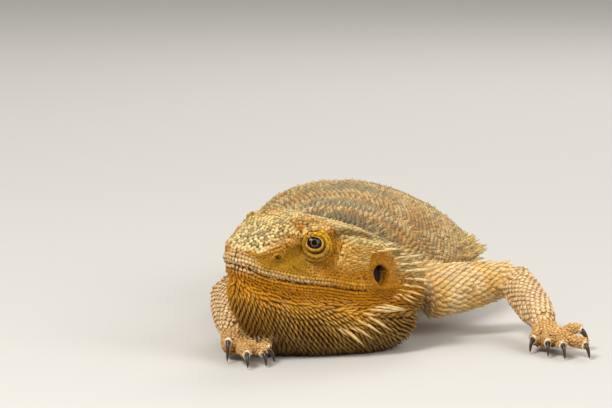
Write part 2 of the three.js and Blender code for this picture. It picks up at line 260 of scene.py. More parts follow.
def smooth_path(points, count):
    """A Catmull-Rom curve through the points, as count samples."""
    points = np.asarray(points, float)
    padded = np.vstack([2 * points[0] - points[1], points, 2 * points[-1] - points[-2]])
    at = np.linspace(0, len(points) - 1, count)
    i = np.minimum(at.astype(int), len(points) - 2)
    t = (at - i)[:, None]
    a, b, c, d = (padded[i + k] for k in range(4))
    return 0.5 * (2 * b + (c - a) * t + (2 * a - 5 * b + 4 * c - d) * t**2 + (3 * b - a - 3 * c + d) * t**3)


def nearest_on(path, points):
    """For each point, the index of the nearest sample of the path."""
    batches = np.array_split(points, len(points) // 20000 + 1)
    return np.concatenate([((some[:, None] - path) ** 2).sum(-1).argmin(1) for some in batches])


SPINE_PATH = smooth_path(SPINE, 260)
SPINE_TANGENT = unit(np.gradient(SPINE_PATH, axis=0))
SPINE_LENGTH = np.concatenate([[0], np.linalg.norm(np.diff(SPINE_PATH, axis=0), axis=1).cumsum()])
NECK_STARTS = 12  # the sample of SPINE_PATH where the rings of scales start
VENT = SPINE_LENGTH[nearest_on(SPINE_PATH, SPINE[VENT_POINT : VENT_POINT + 1])[0]]
LIP_LINE = smooth_path(LIPS, 60)
DIGIT_START = (1.5, 3.8)  # how far past the wrist, and how high, the line of a digit starts
DIGIT_END = (1.2, 0.8)  # how far behind the middle of its claw, and below its top, the line ends


def lip_height(back):
    """How high the line between the lips is, this far back."""
    return np.interp(back, LIP_LINE[:, 0], LIP_LINE[:, 1])


def digits(limb):
    """The line of each digit of a limb's hand or foot, from the wrist to the base of its claw."""
    paw = PAWS[limb]
    wrist = np.array(LIMBS[limb][2], float)
    lines = []
    for number in range(1, 6):
        low, high = (np.array(c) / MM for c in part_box(f"claw_{paw}_{number}"))
        tip = (low + high) / 2
        way = unit((tip - wrist) * (1, 1, 0))
        start = wrist * (1, 1, 0) + way * DIGIT_START[0] + (0, 0, DIGIT_START[1])
        end = tip - way * DIGIT_END[0]
        end[2] = high[2] - DIGIT_END[1]
        lines.append((start, end))
    return lines


# ---- A surface as arrays ----


class Surface:
    """The skin's vertices, triangles and edges, with what is known about each vertex."""

    def __init__(self, mesh):
        self.mesh = mesh
        count = len(mesh.vertices)
        flat = np.empty(count * 3)
        mesh.vertices.foreach_get("co", flat)
        self.points = flat.reshape(-1, 3) / MM
        mesh.calc_loop_triangles()
        corners = np.empty(len(mesh.loop_triangles) * 3, np.int32)
        mesh.loop_triangles.foreach_get("vertices", corners)
        self.tris = corners.reshape(-1, 3)
        ends = np.empty(len(mesh.edges) * 2, np.int32)
        mesh.edges.foreach_get("vertices", ends)
        self.edges = ends.reshape(-1, 2)
        self.degree = np.maximum(np.bincount(self.edges.ravel(), minlength=count), 1)

    def on(self, *nodes):
        """Which vertices belong to these flesh nodes."""
        return np.isin(self.label, [FLESH.index(node) for node in nodes])

    def normals(self):
        """The normal at every vertex."""
        a, b, c = (self.points[self.tris[:, i]] for i in range(3))
        count = len(self.points)
        parts = np.cross(b - a, c - a).T
        totals = [sum(np.bincount(self.tris[:, i], part, count) for i in range(3)) for part in parts]
        return unit(np.column_stack(totals))

    def around(self, values):
        """The mean of each vertex's neighbours."""
        i, j = self.edges.T
        columns = values.reshape(len(values), -1).T
        total = [np.bincount(i, c[j], len(values)) + np.bincount(j, c[i], len(values)) for c in columns]
        return (np.column_stack(total) / self.degree[:, None]).reshape(values.shape)

    def spread(self, values, times, share=0.5):
        """Moves each vertex's value towards its neighbours' mean, some times over."""
        for _ in range(times):
            values = values + share * (self.around(values) - values)
        return values

    def relax(self, times):
        """Smooths the form without shrinking it."""
        for _ in range(times):
            self.points = self.spread(self.points, 1, 0.5)
            self.points = self.spread(self.points, 1, -0.52)

    def tree(self):
        """A tree that finds places on the surface."""
        return BVHTree.FromPolygons(self.points.tolist(), self.tris.tolist())

    def store(self):
        """Puts the points back in the mesh."""
        self.mesh.vertices.foreach_set("co", (self.points * MM).ravel())
        self.mesh.update()


def clean_copy(node):
    """A merged copy of a frame node's loose triangles."""
    bm = bmesh.new()
    bm.from_mesh(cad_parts[node].data)
    bmesh.ops.remove_doubles(bm, verts=bm.verts, dist=1e-6)
    bmesh.ops.recalc_face_normals(bm, faces=bm.faces)
    bm.normal_update()
    return bm


def joined_flesh(grow):
    """All flesh and eyes grown into each other, over the thin cuts between them."""
    whole = bmesh.new()
    for node in FLESH + EYES:
        bm = clean_copy(node)
        for v in bm.verts:
            v.co += v.normal * grow * MM
        mesh = bpy.data.meshes.new("flesh")
        bm.to_mesh(mesh)
        bm.free()
        whole.from_mesh(mesh)
        bpy.data.meshes.remove(mesh)
    mesh = bpy.data.meshes.new("flesh")
    whole.to_mesh(mesh)
    whole.free()
    return mesh


def remeshed(mesh, voxel):
    """One closed skin of a mesh of several overlapping solids."""
    carrier = bpy.data.objects.new("flesh", mesh)
    bpy.context.scene.collection.objects.link(carrier)
    modifier = carrier.modifiers.new("voxels", "REMESH")
    modifier.mode = "VOXEL"
    modifier.voxel_size = voxel * MM
    graph = bpy.context.evaluated_depsgraph_get()
    made = bpy.data.meshes.new_from_object(carrier.evaluated_get(graph))
    bpy.data.objects.remove(carrier)
    bpy.data.meshes.remove(mesh)
    return made


def refine(bm, wanted):
    """Cuts the faces whose middle is wanted into four."""
    centres = to_head(np.array([f.calc_center_median() for f in bm.faces]) / MM)
    chosen = wanted(centres)
    edges = {e for f, keep in zip(bm.faces, chosen) if keep for e in f.edges}
    bmesh.ops.subdivide_edges(bm, edges=list(edges), cuts=1, use_grid_fill=True)


def eye_distance(q):
    """How far points in the head's frame are from the nearer eye's middle."""
    return np.linalg.norm(mirrored(q, EYE), axis=1)


def label_vertices(points):
    """For each point, which flesh node it is nearest to, as an index into FLESH."""
    verts, faces, owner = [], [], []
    for index, node in enumerate(FLESH):
        bm = clean_copy(node)
        first = len(verts)
        verts += [v.co / MM for v in bm.verts]
        faces += [[first + v.index for v in f.verts] for f in bm.faces]
        owner += [index] * len(bm.faces)
        bm.free()
    tree = BVHTree.FromPolygons(verts, faces)
    return np.array([owner[tree.find_nearest(Vector(p))[2]] for p in points.tolist()])


# ---- The skin's form ----


def gaze_axis(side, facing=GAZE):
    """Which way an eye, or the opening of its lids, faces in the head's own frame."""
    away, up = (math.radians(d) for d in facing)
    level = math.cos(up)
    return np.array((side * math.sin(away) * level, -math.cos(away) * level, math.sin(up)))


def eye_polar(q, side):
    """The way from an eye's middle, how far, and the degrees off the middle of its opening and round it."""
    axis = gaze_axis(side, LIDS_FACE)
    rel = q - EYE * (side, 1, 1)
    far = np.linalg.norm(rel, axis=1)
    angle = np.degrees(np.arccos(np.clip(rel @ axis / np.maximum(far, 1e-9), -1, 1)))
    level = unit(np.cross((0, 0, 1), axis))
    upright = np.cross(axis, level)
    return rel, far, angle, np.arctan2(rel @ upright, rel @ level)


def lid_edge(about):
    """Degrees off its middle where the lids part: wider than high."""
    return LIDS_OPEN[0] + LIDS_OPEN[1] * np.cos(2 * about)


def lid_measure(q):
    """Degrees outside the opening of the eye on each point's own side; large away from the eyes."""
    measured = []
    for side in (1, -1):
        _, far, angle, about = eye_polar(q, side)
        measured.append(np.where(far < EYE_RADIUS * 1.6, angle - lid_edge(about), 180))
    return np.minimum(*measured)


def sculpt_eyes(q):
    """Two thick lids with their folds round each eye, and a hollow behind the opening for the eyeball."""
    for side in (1, -1):
        rel, far, angle, about = eye_polar(q, side)
        near = (far < EYE_RADIUS * 2.2) & (q[:, 0] * side > 0)
        over = angle - lid_edge(about)
        lower = step(0.3, -0.5, np.sin(about))
        # outwards from the opening: a thick edge, a groove, a fold, a deeper groove and a last fold below
        lids = (
            EYE_RADIUS
            + 0.05
            + 0.5 * step(0, 5, over)
            + 0.2 * bump(over - 7, 4)
            - 0.5 * bump(over - 14, 2.4)
            + 0.3 * bump(over - 21, 4.5) * (1 + lower)
            - 0.55 * bump(over - 31, 3.2) * (0.4 + 0.6 * lower)
            + 0.3 * bump(over - 40, 4.5) * lower
        )
        lids = np.where(over < 0, EYE_RADIUS * mix(0.62, 1.0, step(-4, 0, over)), lids)
        wanted = mix(far, lids, step(56, 40, over) * near)
        q += rel * ((wanted / np.maximum(far, 1e-9)) - 1)[:, None] * near[:, None]
    return q


def nostril_measure(q):
    """1 on the rim of the nostril, less inside it, and large away from the sides of the snout."""
    local = mirrored(q, NOSTRIL)
    back, up = local[:, 1] / NOSTRIL_RADII[0], local[:, 2] / NOSTRIL_RADII[1]
    return np.hypot(back, up) + 99 * (np.abs(q[:, 0]) < 4)


def ear_measure(q):
    """1 on the rim of the ear's opening, less inside it, and large away from the sides of the head."""
    local = mirrored(q, EAR) @ turn(EAR_LEAN, "X")
    back, up = local[:, 1] / EAR_RADII[0], local[:, 2] / EAR_RADII[1]
    return np.hypot(back, up) + 99 * (np.abs(q[:, 0]) < 13)


def from_ridge(q):
    """Distance from the ridge over the eye, height above it, and 1 for places well under it, else 0."""
    out = np.interp(q[:, 1], RIDGE[:, 0], RIDGE[:, 1])
    above = q[:, 2] - np.interp(q[:, 1], RIDGE[:, 0], RIDGE[:, 2])
    outside = np.abs(q[:, 0]) - out
    return np.hypot(outside, above), above, step(-0.3, 0.9, 0.6 * outside - 0.8 * above)


def sculpt_head(q, normal):
    """Lips, nostrils, ears, brows and the folds of the face, as moves along the skin's normals."""
    side, back, up = np.abs(q[:, 0]), q[:, 1], q[:, 2]
    lips = up - lip_height(back)
    mouth = step(40, 33, back)
    # the lips swell on both sides of the line between them
    push = -0.5 * bump(lips, 0.4) * mouth
    push += 0.45 * bump(lips - 1.3, 0.9) * mouth * step(-1, 4, back)
    push += 0.3 * bump(lips + 1.3, 0.9) * mouth * step(-1, 4, back)
    eye = eye_distance(q)
    ridge, above, _ = from_ridge(q)
    # the ridge over the eye stands out, and the snout falls in below it and at its sides
    push += 0.9 * bump(ridge, 0.95) * step(1, 6, back) * step(25, 18, back)
    push -= 1.0 * bump(above + 4.2, 1.9) * step(5, 9, back) * step(19, 14, back) * step(2.5, 5, side)
    push -= 0.7 * step(4, 7, side) * step(0, 4, back) * step(13, 8, back) * step(3.5, 6, up)
    # the crown is domed
    push += 0.9 * step(10, 6, side) * step(7, 13, back) * step(36, 26, back) * step(6, 9, up)
    # a rim rings each nostril
    nostril = nostril_measure(q)
    push += 0.4 * bump(nostril - 1.7, 0.5) - 1.3 * step(1.2, 0.5, nostril)
    # behind the eye a fold runs back over the ear and ends in the longest spine of the temple
    fold = up - np.interp(back, (24, 34, 44, 52), (8.5, 8.8, 8.2, 7.8))
    push += 1.3 * bump(fold, 1.4) * step(25, 31, back) * step(54, 48, back) * step(9, 13, side)
    push -= 1.0 * bump(fold - 2.6, 0.7) * step(24, 28, back) * step(46, 38, back) * step(8, 12, side)
    # the ears are deep hollows with low rims
    ear = ear_measure(q)
    push -= 0.8 * bump(ear, 2.2) + 2.6 * step(1.15, 0.95, ear)
    push += 0.25 * bump(ear - 1.4, 0.25)
    # wrinkles run round the lower half of the eye and back towards the ear
    under_eye = step(3.5, -0.5, up - EYE[2]) * step(40, 26, back) * step(6, 9, side)
    for far, depth in ((6.4, 0.4), (8.0, 0.35), (10.0, 0.25)):
        push -= depth * bump(eye - far, 0.35) * under_eye
        push += 0.5 * depth * bump(eye - far - 0.9, 0.5) * under_eye
    # the cheek folds over the corner of the mouth
    push += 0.6 * bump(np.hypot((back - 33) / 6, (up + 1.2) / 1.8), 1.0) * step(8, 12, side)
    return q + normal * push[:, None]


FLESH_GROWTH = 0.2  # closes the thin cuts between the flesh nodes, and is taken off the skin again
GROOVE_DEPTH = 1.7
GROOVE_WIDTH = 1.1
SOLE_LIFT = 0.25  # how far the skin of the hands and feet stays above the floor
SOLE_ARCH = 1.5  # and how much further under their middles


def part_digits(skin):
    """Presses grooves between the digits of each hand and foot, deepest near the claws."""
    normals = skin.normals()
    for limb, paw in PAWS.items():
        mine = np.flatnonzero(skin.on(paw))
        points = skin.points[mine]
        gaps, along = [], []
        for start, end in digits(limb):
            reach = (end - start) * (1, 1, 0)
            share = np.clip((points - start) @ reach / (reach @ reach), 0, 1)
            off = points - start - share[:, None] * (end - start)
            gaps.append(np.linalg.norm(off * (1, 1, 0), axis=1))
            along.append(share)
        nearest = np.argmin(gaps, axis=0)
        first, second = np.sort(gaps, axis=0)[:2]
        knuckles = step(0.3, 0.65, np.array(along)[nearest, np.arange(len(mine))])
        depth = GROOVE_DEPTH * bump(second - first, GROOVE_WIDTH) * knuckles
        skin.points[mine] -= normals[mine] * depth[:, None]


def build_skin(voxel):
    """The skin, as a Surface with its labels."""
    mesh = remeshed(joined_flesh(FLESH_GROWTH), voxel)
    bm = bmesh.new()
    bm.from_mesh(mesh)
    # the head is meshed more finely than the rest, and the eyes more finely still
    refine(bm, lambda q: (q[:, 1] < 58) & (q[:, 2] > -13) & (np.abs(q[:, 0]) < 27) & (q[:, 1] > -4))
    refine(bm, lambda q: eye_distance(q) < 9.5)
    bm.to_mesh(mesh)
    bm.free()
    skin = Surface(mesh)
    skin.relax(14)
    # the limbs run into the body without a step
    roots = np.array([root for root, _, _ in LIMBS.values()])
    joined = step(15, 9.5, np.linalg.norm(skin.points[:, None] - roots, axis=2).min(1))
    for _ in range(40):
        skin.points += (skin.around(skin.points) - skin.points) * joined[:, None] * 0.6
    skin.label = label_vertices(skin.points)
    depth = np.array([COAT[kind_of(name)][0] for name in FLESH])[skin.label] + FLESH_GROWTH
    depth = skin.spread(depth, 8)
    # the skin sinks in by the height of the scales that will cover it
    stages = 4
    for _ in range(stages):
        skin.points -= skin.normals() * depth[:, None] / stages
        skin.relax(1)
    q = to_head(skin.points)
    on_head = skin.spread(skin.on("head", "beard").astype(float), 4)
    moved = from_head(sculpt_head(q, skin.normals() @ HEAD_AXES))
    skin.points = mix(skin.points, moved, on_head)
    face = (on_head > 0.99) & (eye_distance(to_head(skin.points)) < 12)
    skin.points[face] = from_head(sculpt_eyes(to_head(skin.points[face])))
    part_digits(skin)
    arched = skin.spread(skin.on(*PAWS.values()).astype(float), 4) * SOLE_ARCH
    skin.points[:, 2] = np.maximum(skin.points[:, 2], SOLE_LIFT + arched)
    skin.store()
    return skin


# ---- What each place on the skin is like ----


def body_fields(skin):
    """Fills in the skin's kinds, lie, scale sizes and colours at every vertex."""
    skin.normal = skin.normals()
    at = nearest_on(SPINE_PATH, skin.points)
    skin.down_spine = SPINE_LENGTH[at]
    tangent = SPINE_TANGENT[at]
    level = unit(np.cross(tangent, (0, 0, 1)))
    rel = skin.points - SPINE_PATH[at]
    skin.about = np.arctan2((rel * np.cross(level, tangent)).sum(1), (rel * level).sum(1))
    skin.kinds = np.array([kind_of(name) for name in FLESH], dtype="U8")[skin.label]
    skin.kinds[np.isin(skin.kinds, TRUNK) & (np.sin(skin.about) < -0.35)] = "under"
    q = to_head(skin.points)
    head = np.isin(skin.kinds, ("head", "beard"))
    lie_fields(skin, q, tangent, head)
    size_fields(skin, q, head)
    paint_fields(skin, q)


def lie_fields(skin, q, tangent, head):
    """Which way the scales point: back along the body, out from the throat pouch, and down each limb."""
    lie = tangent.copy()
    skin.spray = np.linalg.norm((q - POUCH_MIDDLE) * (0.6, 1, 1), axis=1)
    ahead = np.column_stack([0.1 * np.sign(q[:, 0]), np.ones(len(q)), -0.05 * np.ones(len(q))])
    hanging = step(1, -9, q[:, 2] - lip_height(q[:, 1]))
    spray = unit((q - POUCH_MIDDLE) * (0.35, 1, 1))
    lie[head] = (unit(mix(ahead, spray, hanging)) @ HEAD_AXES.T)[head]
    for limb, (root, joint, end) in LIMBS.items():
        path = np.vstack([np.linspace(root, joint, 12), np.linspace(joint, end, 12)[1:]])
        way = unit(np.gradient(path, axis=0))
        mine = skin.on(*nodes_of(limb)[:2])
        lie[mine] = way[nearest_on(path, skin.points[mine])]
        paw = skin.on(PAWS[limb])
        lines = digits(limb)
        samples = np.vstack([np.linspace(a, b, 14) for a, b in lines])
        ways = np.vstack([np.tile(unit(b - a), (14, 1)) for a, b in lines])
        lie[paw] = ways[nearest_on(samples, skin.points[paw])]
    skin.lie = unit(skin.spread(lie, 10))


def size_fields(skin, q, head):
    """How far apart the scales are, and how long, wide, high and steep."""
    back, up, facing_up = q[:, 1], q[:, 2], (skin.normal @ HEAD_AXES)[:, 2]
    order = {kind: row for row, kind in enumerate(COAT)}
    sizes = np.array(list(COAT.values()))[[order[name] for name in skin.kinds], 1:]
    gap, long, wide, high, tilt = sizes.T.copy()
    below = lip_height(back) - up
    eye = eye_distance(q)
    ear = ear_measure(q)
    ridge, _, under = from_ridge(q)
    crown = step(0.3, 0.6, facing_up) * step(2, 6, up) * np.maximum(1 - under, step(26, 32, back))
    temple = step(25, 32, back) * step(0, 3, up) * step(0.85, 0.5, facing_up) * step(2.2, 3.4, ear)
    chin = step(2, 10, below)
    jaw = step(0.3, 1.5, below)
    lore = step(20, 15, back) * under * (1 - jaw)
    orbit = step(8.6, 7.2, eye) * under
    hollow = step(2.6, 2.0, ear)
    lips = bump(np.abs(below) - 0.9, 0.9) * step(42, 34, back)
    zones = (
        # where, gap, length, width, height, tilt
        (crown, 1.0, 1.35, 1.2, 0.4, 6),
        (temple, 1.3, 1.9, 1.2, 0.55, 12),
        (lore, 0.72, 1.4, 1.3, 0.14, 2),
        (orbit, 0.58, 1.45, 1.35, 0.13, 2),
        (hollow, 0.75, 1.45, 1.35, 0.12, 2),
        (jaw, 0.9, 1.7, 1.3, 0.36, 8),
        (jaw * chin, 1.45, 1.95, 0.97, 0.82, 22),
        (jaw * step(9, 17, below) * step(10, 30, back), 1.6, 2.3, 0.9, 0.88, 24),
        (bump(ridge, 1.1) * step(3, 7, back) * step(36, 30, back), 0.95, 1.6, 1.2, 0.5, 6),
        (lips, 1.0, 1.3, 1.22, 0.34, 3),
    )
    for where, *wanted in zones:
        share = where * head
        for values, one in zip((gap, long, wide, high, tilt), wanted):
            values[:] = mix(values, one, share)
    skin.gap = skin.spread(gap, 5)
    skin.long = skin.spread(long, 3)
    skin.wide = skin.spread(wide, 3)
    skin.high = skin.spread(high, 3)
    skin.tilt = skin.spread(tilt, 3)
    skin.spiny = skin.spread(np.where(head, step(4, 10, below), 0), 3)


def layered(values, layers):
    """Lays colours over each other: each layer is where it goes, from 0 to 1, and its colour."""
    for where, colour in layers:
        values = mix(values, np.array(colour), np.clip(where, 0, 1))
    return values


def body_paint(skin, q):
    """The colours of the scales, and of the gaps between them, from the neck back."""
    c = bpy.context.scene.dragon
    p, names = skin.points, skin.kinds
    back, up = q[:, 1], q[:, 2]
    count = len(p)
    high = np.sin(skin.about)
    from_middle = np.abs(np.degrees(skin.about) - 90)  # degrees round the body from the middle of the back
    blotch = noise(p, 7, 3) * 0.6 + noise(p, 3, 4) * 0.4
    bands = 0.5 + 0.5 * np.cos((skin.down_spine - 36) / 24 * 2 * math.pi)
    grey = step(55, 15, from_middle) * step(0.5, 0.75, bands * 0.55 + blotch * 0.6)
    limb = np.isin(names, ("upper", "lower", "paw"))
    flank = step(60, 70, skin.down_spine) * step(VENT, VENT - 15, skin.down_spine)
    body = layered(
        np.tile(np.array(c.back_colour), (count, 1)),
        (
            (step(0.5, 0.66, noise(p, 6, 8)) * 0.8, c.back_warm),
            (step(0.5, 0.62, noise(p, 4.5, 21)) * 0.6, c.back_pale),
            (grey * 0.85, c.grey_colour),
            (step(100, 180, skin.down_spine) * 0.5, c.back_warm),
            (bump(from_middle - 88, 16) * flank, c.fringe_colour),
            (step(-0.15, -0.5, high), c.belly_colour),
            # the neck, and most of all the part just behind the head, is darker: partly its own grey,
            # partly painted shade
            (step(54, 49, back) * step(-12, -4, up) * 0.8, c.neck_and_shade_colour),
            ((names == "neck") * 0.5, c.neck_and_shade_colour),
            (limb, c.limb_colour),
            (limb * step(0.45, 0.65, noise(p, 5, 11)) * 0.6, c.limb_pale),
            ((names == "lower") * step(40, 0, p[:, 1]) * 0.7, c.forearm_colour),
            (names == "paw", c.paw_colour),
            # painted shade: the hands and feet are darkened near the floor, below about 3.4 mm
            ((names == "paw") * step(3.4, 1.8, p[:, 2]) * 0.85, c.sole_shade),
        ),
    )
    gaps = layered(
        np.tile(np.array(c.back_gap), (count, 1)),
        ((step(-0.15, -0.5, high), c.belly_gap), (limb, c.limb_gap)),
    )
    return body, gaps


def face_paint(skin, q):
    """Likewise on the head and the beard, and how much each place belongs to the crown."""
    c = bpy.context.scene.dragon
    side, back, up = np.abs(q[:, 0]), q[:, 1], q[:, 2]
    below = lip_height(back) - up
    count = len(q)
    ridge, above, under = from_ridge(q)
    facing_up = (skin.normal @ HEAD_AXES)[:, 2]
    crown = step(0.2, 0.5, facing_up) * step(0, 4, up) * np.maximum(1 - under, step(26, 32, back))
    eye = eye_distance(q)
    ear = ear_measure(q)
    temple = step(22, 27, back) * step(1, 5, up) * step(6.5, 8.5, eye)
    jaw = step(0.1, 0.5, below)
    chin = step(2, 10, below)
    over = lid_measure(q)
    orbit = step(37, 27, over) * step(7.5, 6.5, eye) * under
    lip = bump(below + 1.2, 1.1) * step(42, 34, back)
    lower_lid = step(1.2, -1.0, up - EYE[2] - 0.35 * (EYE[1] - back))
    # painted shade: a dark line along the groove of the fold behind the eye
    streak = bump(up - np.interp(back, (24, 34, 44), (11.4, 11.7, 11.1)), 0.9)
    streak *= step(23, 26, back) * step(46, 38, back) * step(7, 10, side)
    # painted shade in the creases between the rings of the lids and at the edge of the opening
    fold = np.clip(bump(over - 14, 2.6) + 0.7 * bump(over - 31, 3) + bump(over, 2), 0, 1)
    face = layered(
        np.tile(np.array(c.cheek_colour), (count, 1)),
        (
            (under * step(22, 15, back) * step(0.5, -0.5, below), c.lore_colour),
            (temple * (1 - crown * 0.6), c.temple_colour),
            (crown, c.crown_colour),
            (crown * step(13, 4, back) * 0.5, c.crown_pale),
            (bump(ridge, 2.0) * step(2, 7, back) * step(29, 22, back) * 0.85, c.brow_colour),
            (step(10.5, 8, eye) * step(-0.5, 0.8, above) * step(8, 12, back) * 0.75, c.brow_colour),
            # the back of the head takes the darker neck colour: partly its own grey, partly painted shade
            (step(41, 47, back) * step(5, 8, up) * 0.55, c.neck_and_shade_colour),
            (streak * 0.9, c.cheek_gap_and_shade),
            # painted shadow in a band under the ridge over the eye
            (bump(above + 1.9, 0.8) * under * step(8, 14, back) * step(31, 25, back) * 0.5, c.cheek_gap_and_shade),
            (orbit, c.lid_colour),
            # painted shade on the lower lids
            (orbit * lower_lid * 0.9, c.lower_lid_shade),
            (fold * under * 0.7, c.lid_fold_shade),
            (jaw, c.jaw_colour),
            (jaw * chin, c.beard_colour),
            # the beard darkens downwards and towards its rear: partly its own darker colour, partly painted
            # shade under the pouch and between the long spines
            (step(8, 20, below) * 0.9, c.beard_low_and_shade),
            (step(12, 24, below) * step(30, 44, back) * 0.5, c.beard_gap_and_shade),
            (step(31, 42, back) * step(2, 6, below) * 0.6, c.beard_low_and_shade),
            (lip * 0.85, c.lip_colour),
            (bump(below + 0.8, 0.8) * step(30, 10, back) * 0.75, c.lip_pale),
            (step(9, 1, back + side * 0.6) * step(3.0, 1.6, np.abs(below + 0.9)) * 0.75, c.snout_colour),
            (step(3.2, 2.2, ear), c.ear_colour),
            (step(0.55, 0.8, noise(skin.points, 5, 31)) * 0.25, c.temple_colour),
        ),
    )
    gaps = layered(
        np.tile(np.array(c.cheek_gap_and_shade), (count, 1)),
        (
            (crown, c.crown_gap),
            (under * step(22, 15, back), np.array(c.lore_colour) * 0.7),
            (orbit, np.array(c.lid_colour) * 0.55),
            (fold * under * 0.8, c.lid_fold_shade),
            (jaw, c.jaw_gap),
            (jaw * chin, c.beard_gap_and_shade),
            (step(3.2, 2.2, ear), np.array(c.ear_colour) * 0.75),
        ),
    )
    return face, gaps, crown


def paint_fields(skin, q):
    """The colour of the scales, and of the skin between them, at every vertex."""
    back, up = q[:, 1], q[:, 2]
    body, body_gaps = body_paint(skin, q)
    face, face_gaps, crown = face_paint(skin, q)
    head = skin.spread(np.isin(skin.kinds, ("head", "beard")).astype(float), 5)
    head = head * (1 - 0.85 * step(41, 55, back) * step(-2, 3, up))
    skin.crown = crown * head
    skin.colour = mix(body, face, head)
    # painted shade: inside the ears and the nostrils, in the eye sockets and along the line between the
    # lips the skin is painted dark
    dark = np.maximum.reduce(
        [
            step(1.2, 1.02, ear_measure(q)),
            step(1.1, 0.6, nostril_measure(q)),
            step(0.26, 0.08, np.abs(lip_height(back) - up)) * step(40, 34, back),
            step(EYE_RADIUS + 0.1, EYE_RADIUS - 0.2, eye_distance(q)),
        ]
    )
    skin.bare = dark * head
    hollows = np.array(bpy.context.scene.dragon.hollow_shade)
    skin.ground = mix(mix(body_gaps, face_gaps, head), hollows, skin.bare)


# ---- Where scales grow ----

ROW_STEP = 0.87  # the share of a gap between one ring of scales and the next
LEAP = 3.0  # a ring's neighbouring places lie on the same part of the body when they are nearer than this


def ring_rows(tree, path, reach, gap):
    """Points in rings round a path, each row offset by half a gap from the last, on the skin."""
    length = np.concatenate([[0], np.linalg.norm(np.diff(path, axis=0), axis=1).cumsum()])
    tangents = unit(np.gradient(path, axis=0))
    found = []
    angles = np.linspace(0, 2 * math.pi, 97)
    for row in range(int(length[-1] / (gap * ROW_STEP))):
        at = row * gap * ROW_STEP
        centre = np.array([np.interp(at, length, path[:, k]) for k in range(3)])
        tangent = unit(np.array([np.interp(at, length, tangents[:, k]) for k in range(3)]))
        level = unit(np.cross(tangent, (0, 0, 1)))
        upright = np.cross(level, tangent)
        far = np.interp(at, length, reach)
        hits = []
        for angle in angles:
            way = math.cos(angle) * level + math.sin(angle) * upright
            hit = tree.ray_cast(Vector(centre), Vector(way), far)[0]
            hits.append(hit if hit is None else np.array(hit))
        travelled = (row % 2) * gap / 2
        for a, b in zip(hits[:-1], hits[1:]):
            if a is None or b is None:
                continue
            span = float(np.linalg.norm(b - a))
            if span > LEAP:
                continue
            while travelled < span:
                found.append(a + (b - a) * travelled / span)
                travelled += gap
            travelled -= span
    return found


class Spacer:
    """Keeps the points that are far enough from those kept before."""

    CELL = 1.5  # the size of the cells that the kept points are looked up in

    def __init__(self):
        self.cells = {}
        self.points = []

    def offer(self, point, room):
        """Keeps the point if no kept one is nearer than room."""
        x, y, z = point
        i, j, k = (math.floor(c / self.CELL) for c in point)
        reach = math.ceil(room / self.CELL)
        around = range(-reach, reach + 1)
        for di, dj, dk in itertools.product(around, around, around):
            for a, b, c in self.cells.get((i + di, j + dj, k + dk), ()):
                if (a - x) ** 2 + (b - y) ** 2 + (c - z) ** 2 < room * room:
                    return
        self.cells.setdefault((i, j, k), []).append((x, y, z))
        self.points.append((x, y, z))


def on_skin(skin, tree, points):
    """Points moved to the skin, with the triangle and the weights of its corners there."""
    hits = [tree.find_nearest(Vector(p)) for p in points.tolist()]
    place = np.array([h[0] for h in hits])
    face = np.array([h[2] for h in hits])
    a, b, c = (skin.points[skin.tris[face, i]] for i in range(3))
    whole = np.maximum(np.linalg.norm(np.cross(b - a, c - a), axis=1), 1e-12)
    wa = np.linalg.norm(np.cross(b - place, c - place), axis=1) / whole
    wb = np.linalg.norm(np.cross(c - place, a - place), axis=1) / whole
    weights = np.column_stack([wa, wb, np.clip(1 - wa - wb, 0, 1)])
    return place, face, weights / weights.sum(1, keepdims=True)


def sampled(skin, field, face, weights):
    """A vertex field's values at places on the skin's triangles."""
    values = field[skin.tris[face]]
    return (values * weights.reshape(weights.shape + (1,) * (values.ndim - 2))).sum(1)


def head_hits(tree, starts, ways):
    """Where rays in the head's frame meet the skin."""
    hits = (
        tree.ray_cast(Vector(start), Vector(way), 40)[0]
        for start, way in zip(from_head(starts).tolist(), (np.asarray(ways) @ HEAD_AXES.T).tolist())
    )
    return np.array([hit for hit in hits if hit is not None])


def spaced(points, gap):
    """A polyline's points at even distances."""
    far = np.concatenate([[0], np.linalg.norm(np.diff(points, axis=0), axis=1).cumsum()])
    at = np.arange(gap / 2, far[-1], gap)
    return np.column_stack([np.interp(at, far, points[:, k]) for k in range(3)])


POUCH_EDGE = 0.15  # how spiny the skin is where the rows of the beard end
POUCH_STEP = 0.85  # the share of a gap between one row of the beard and the next


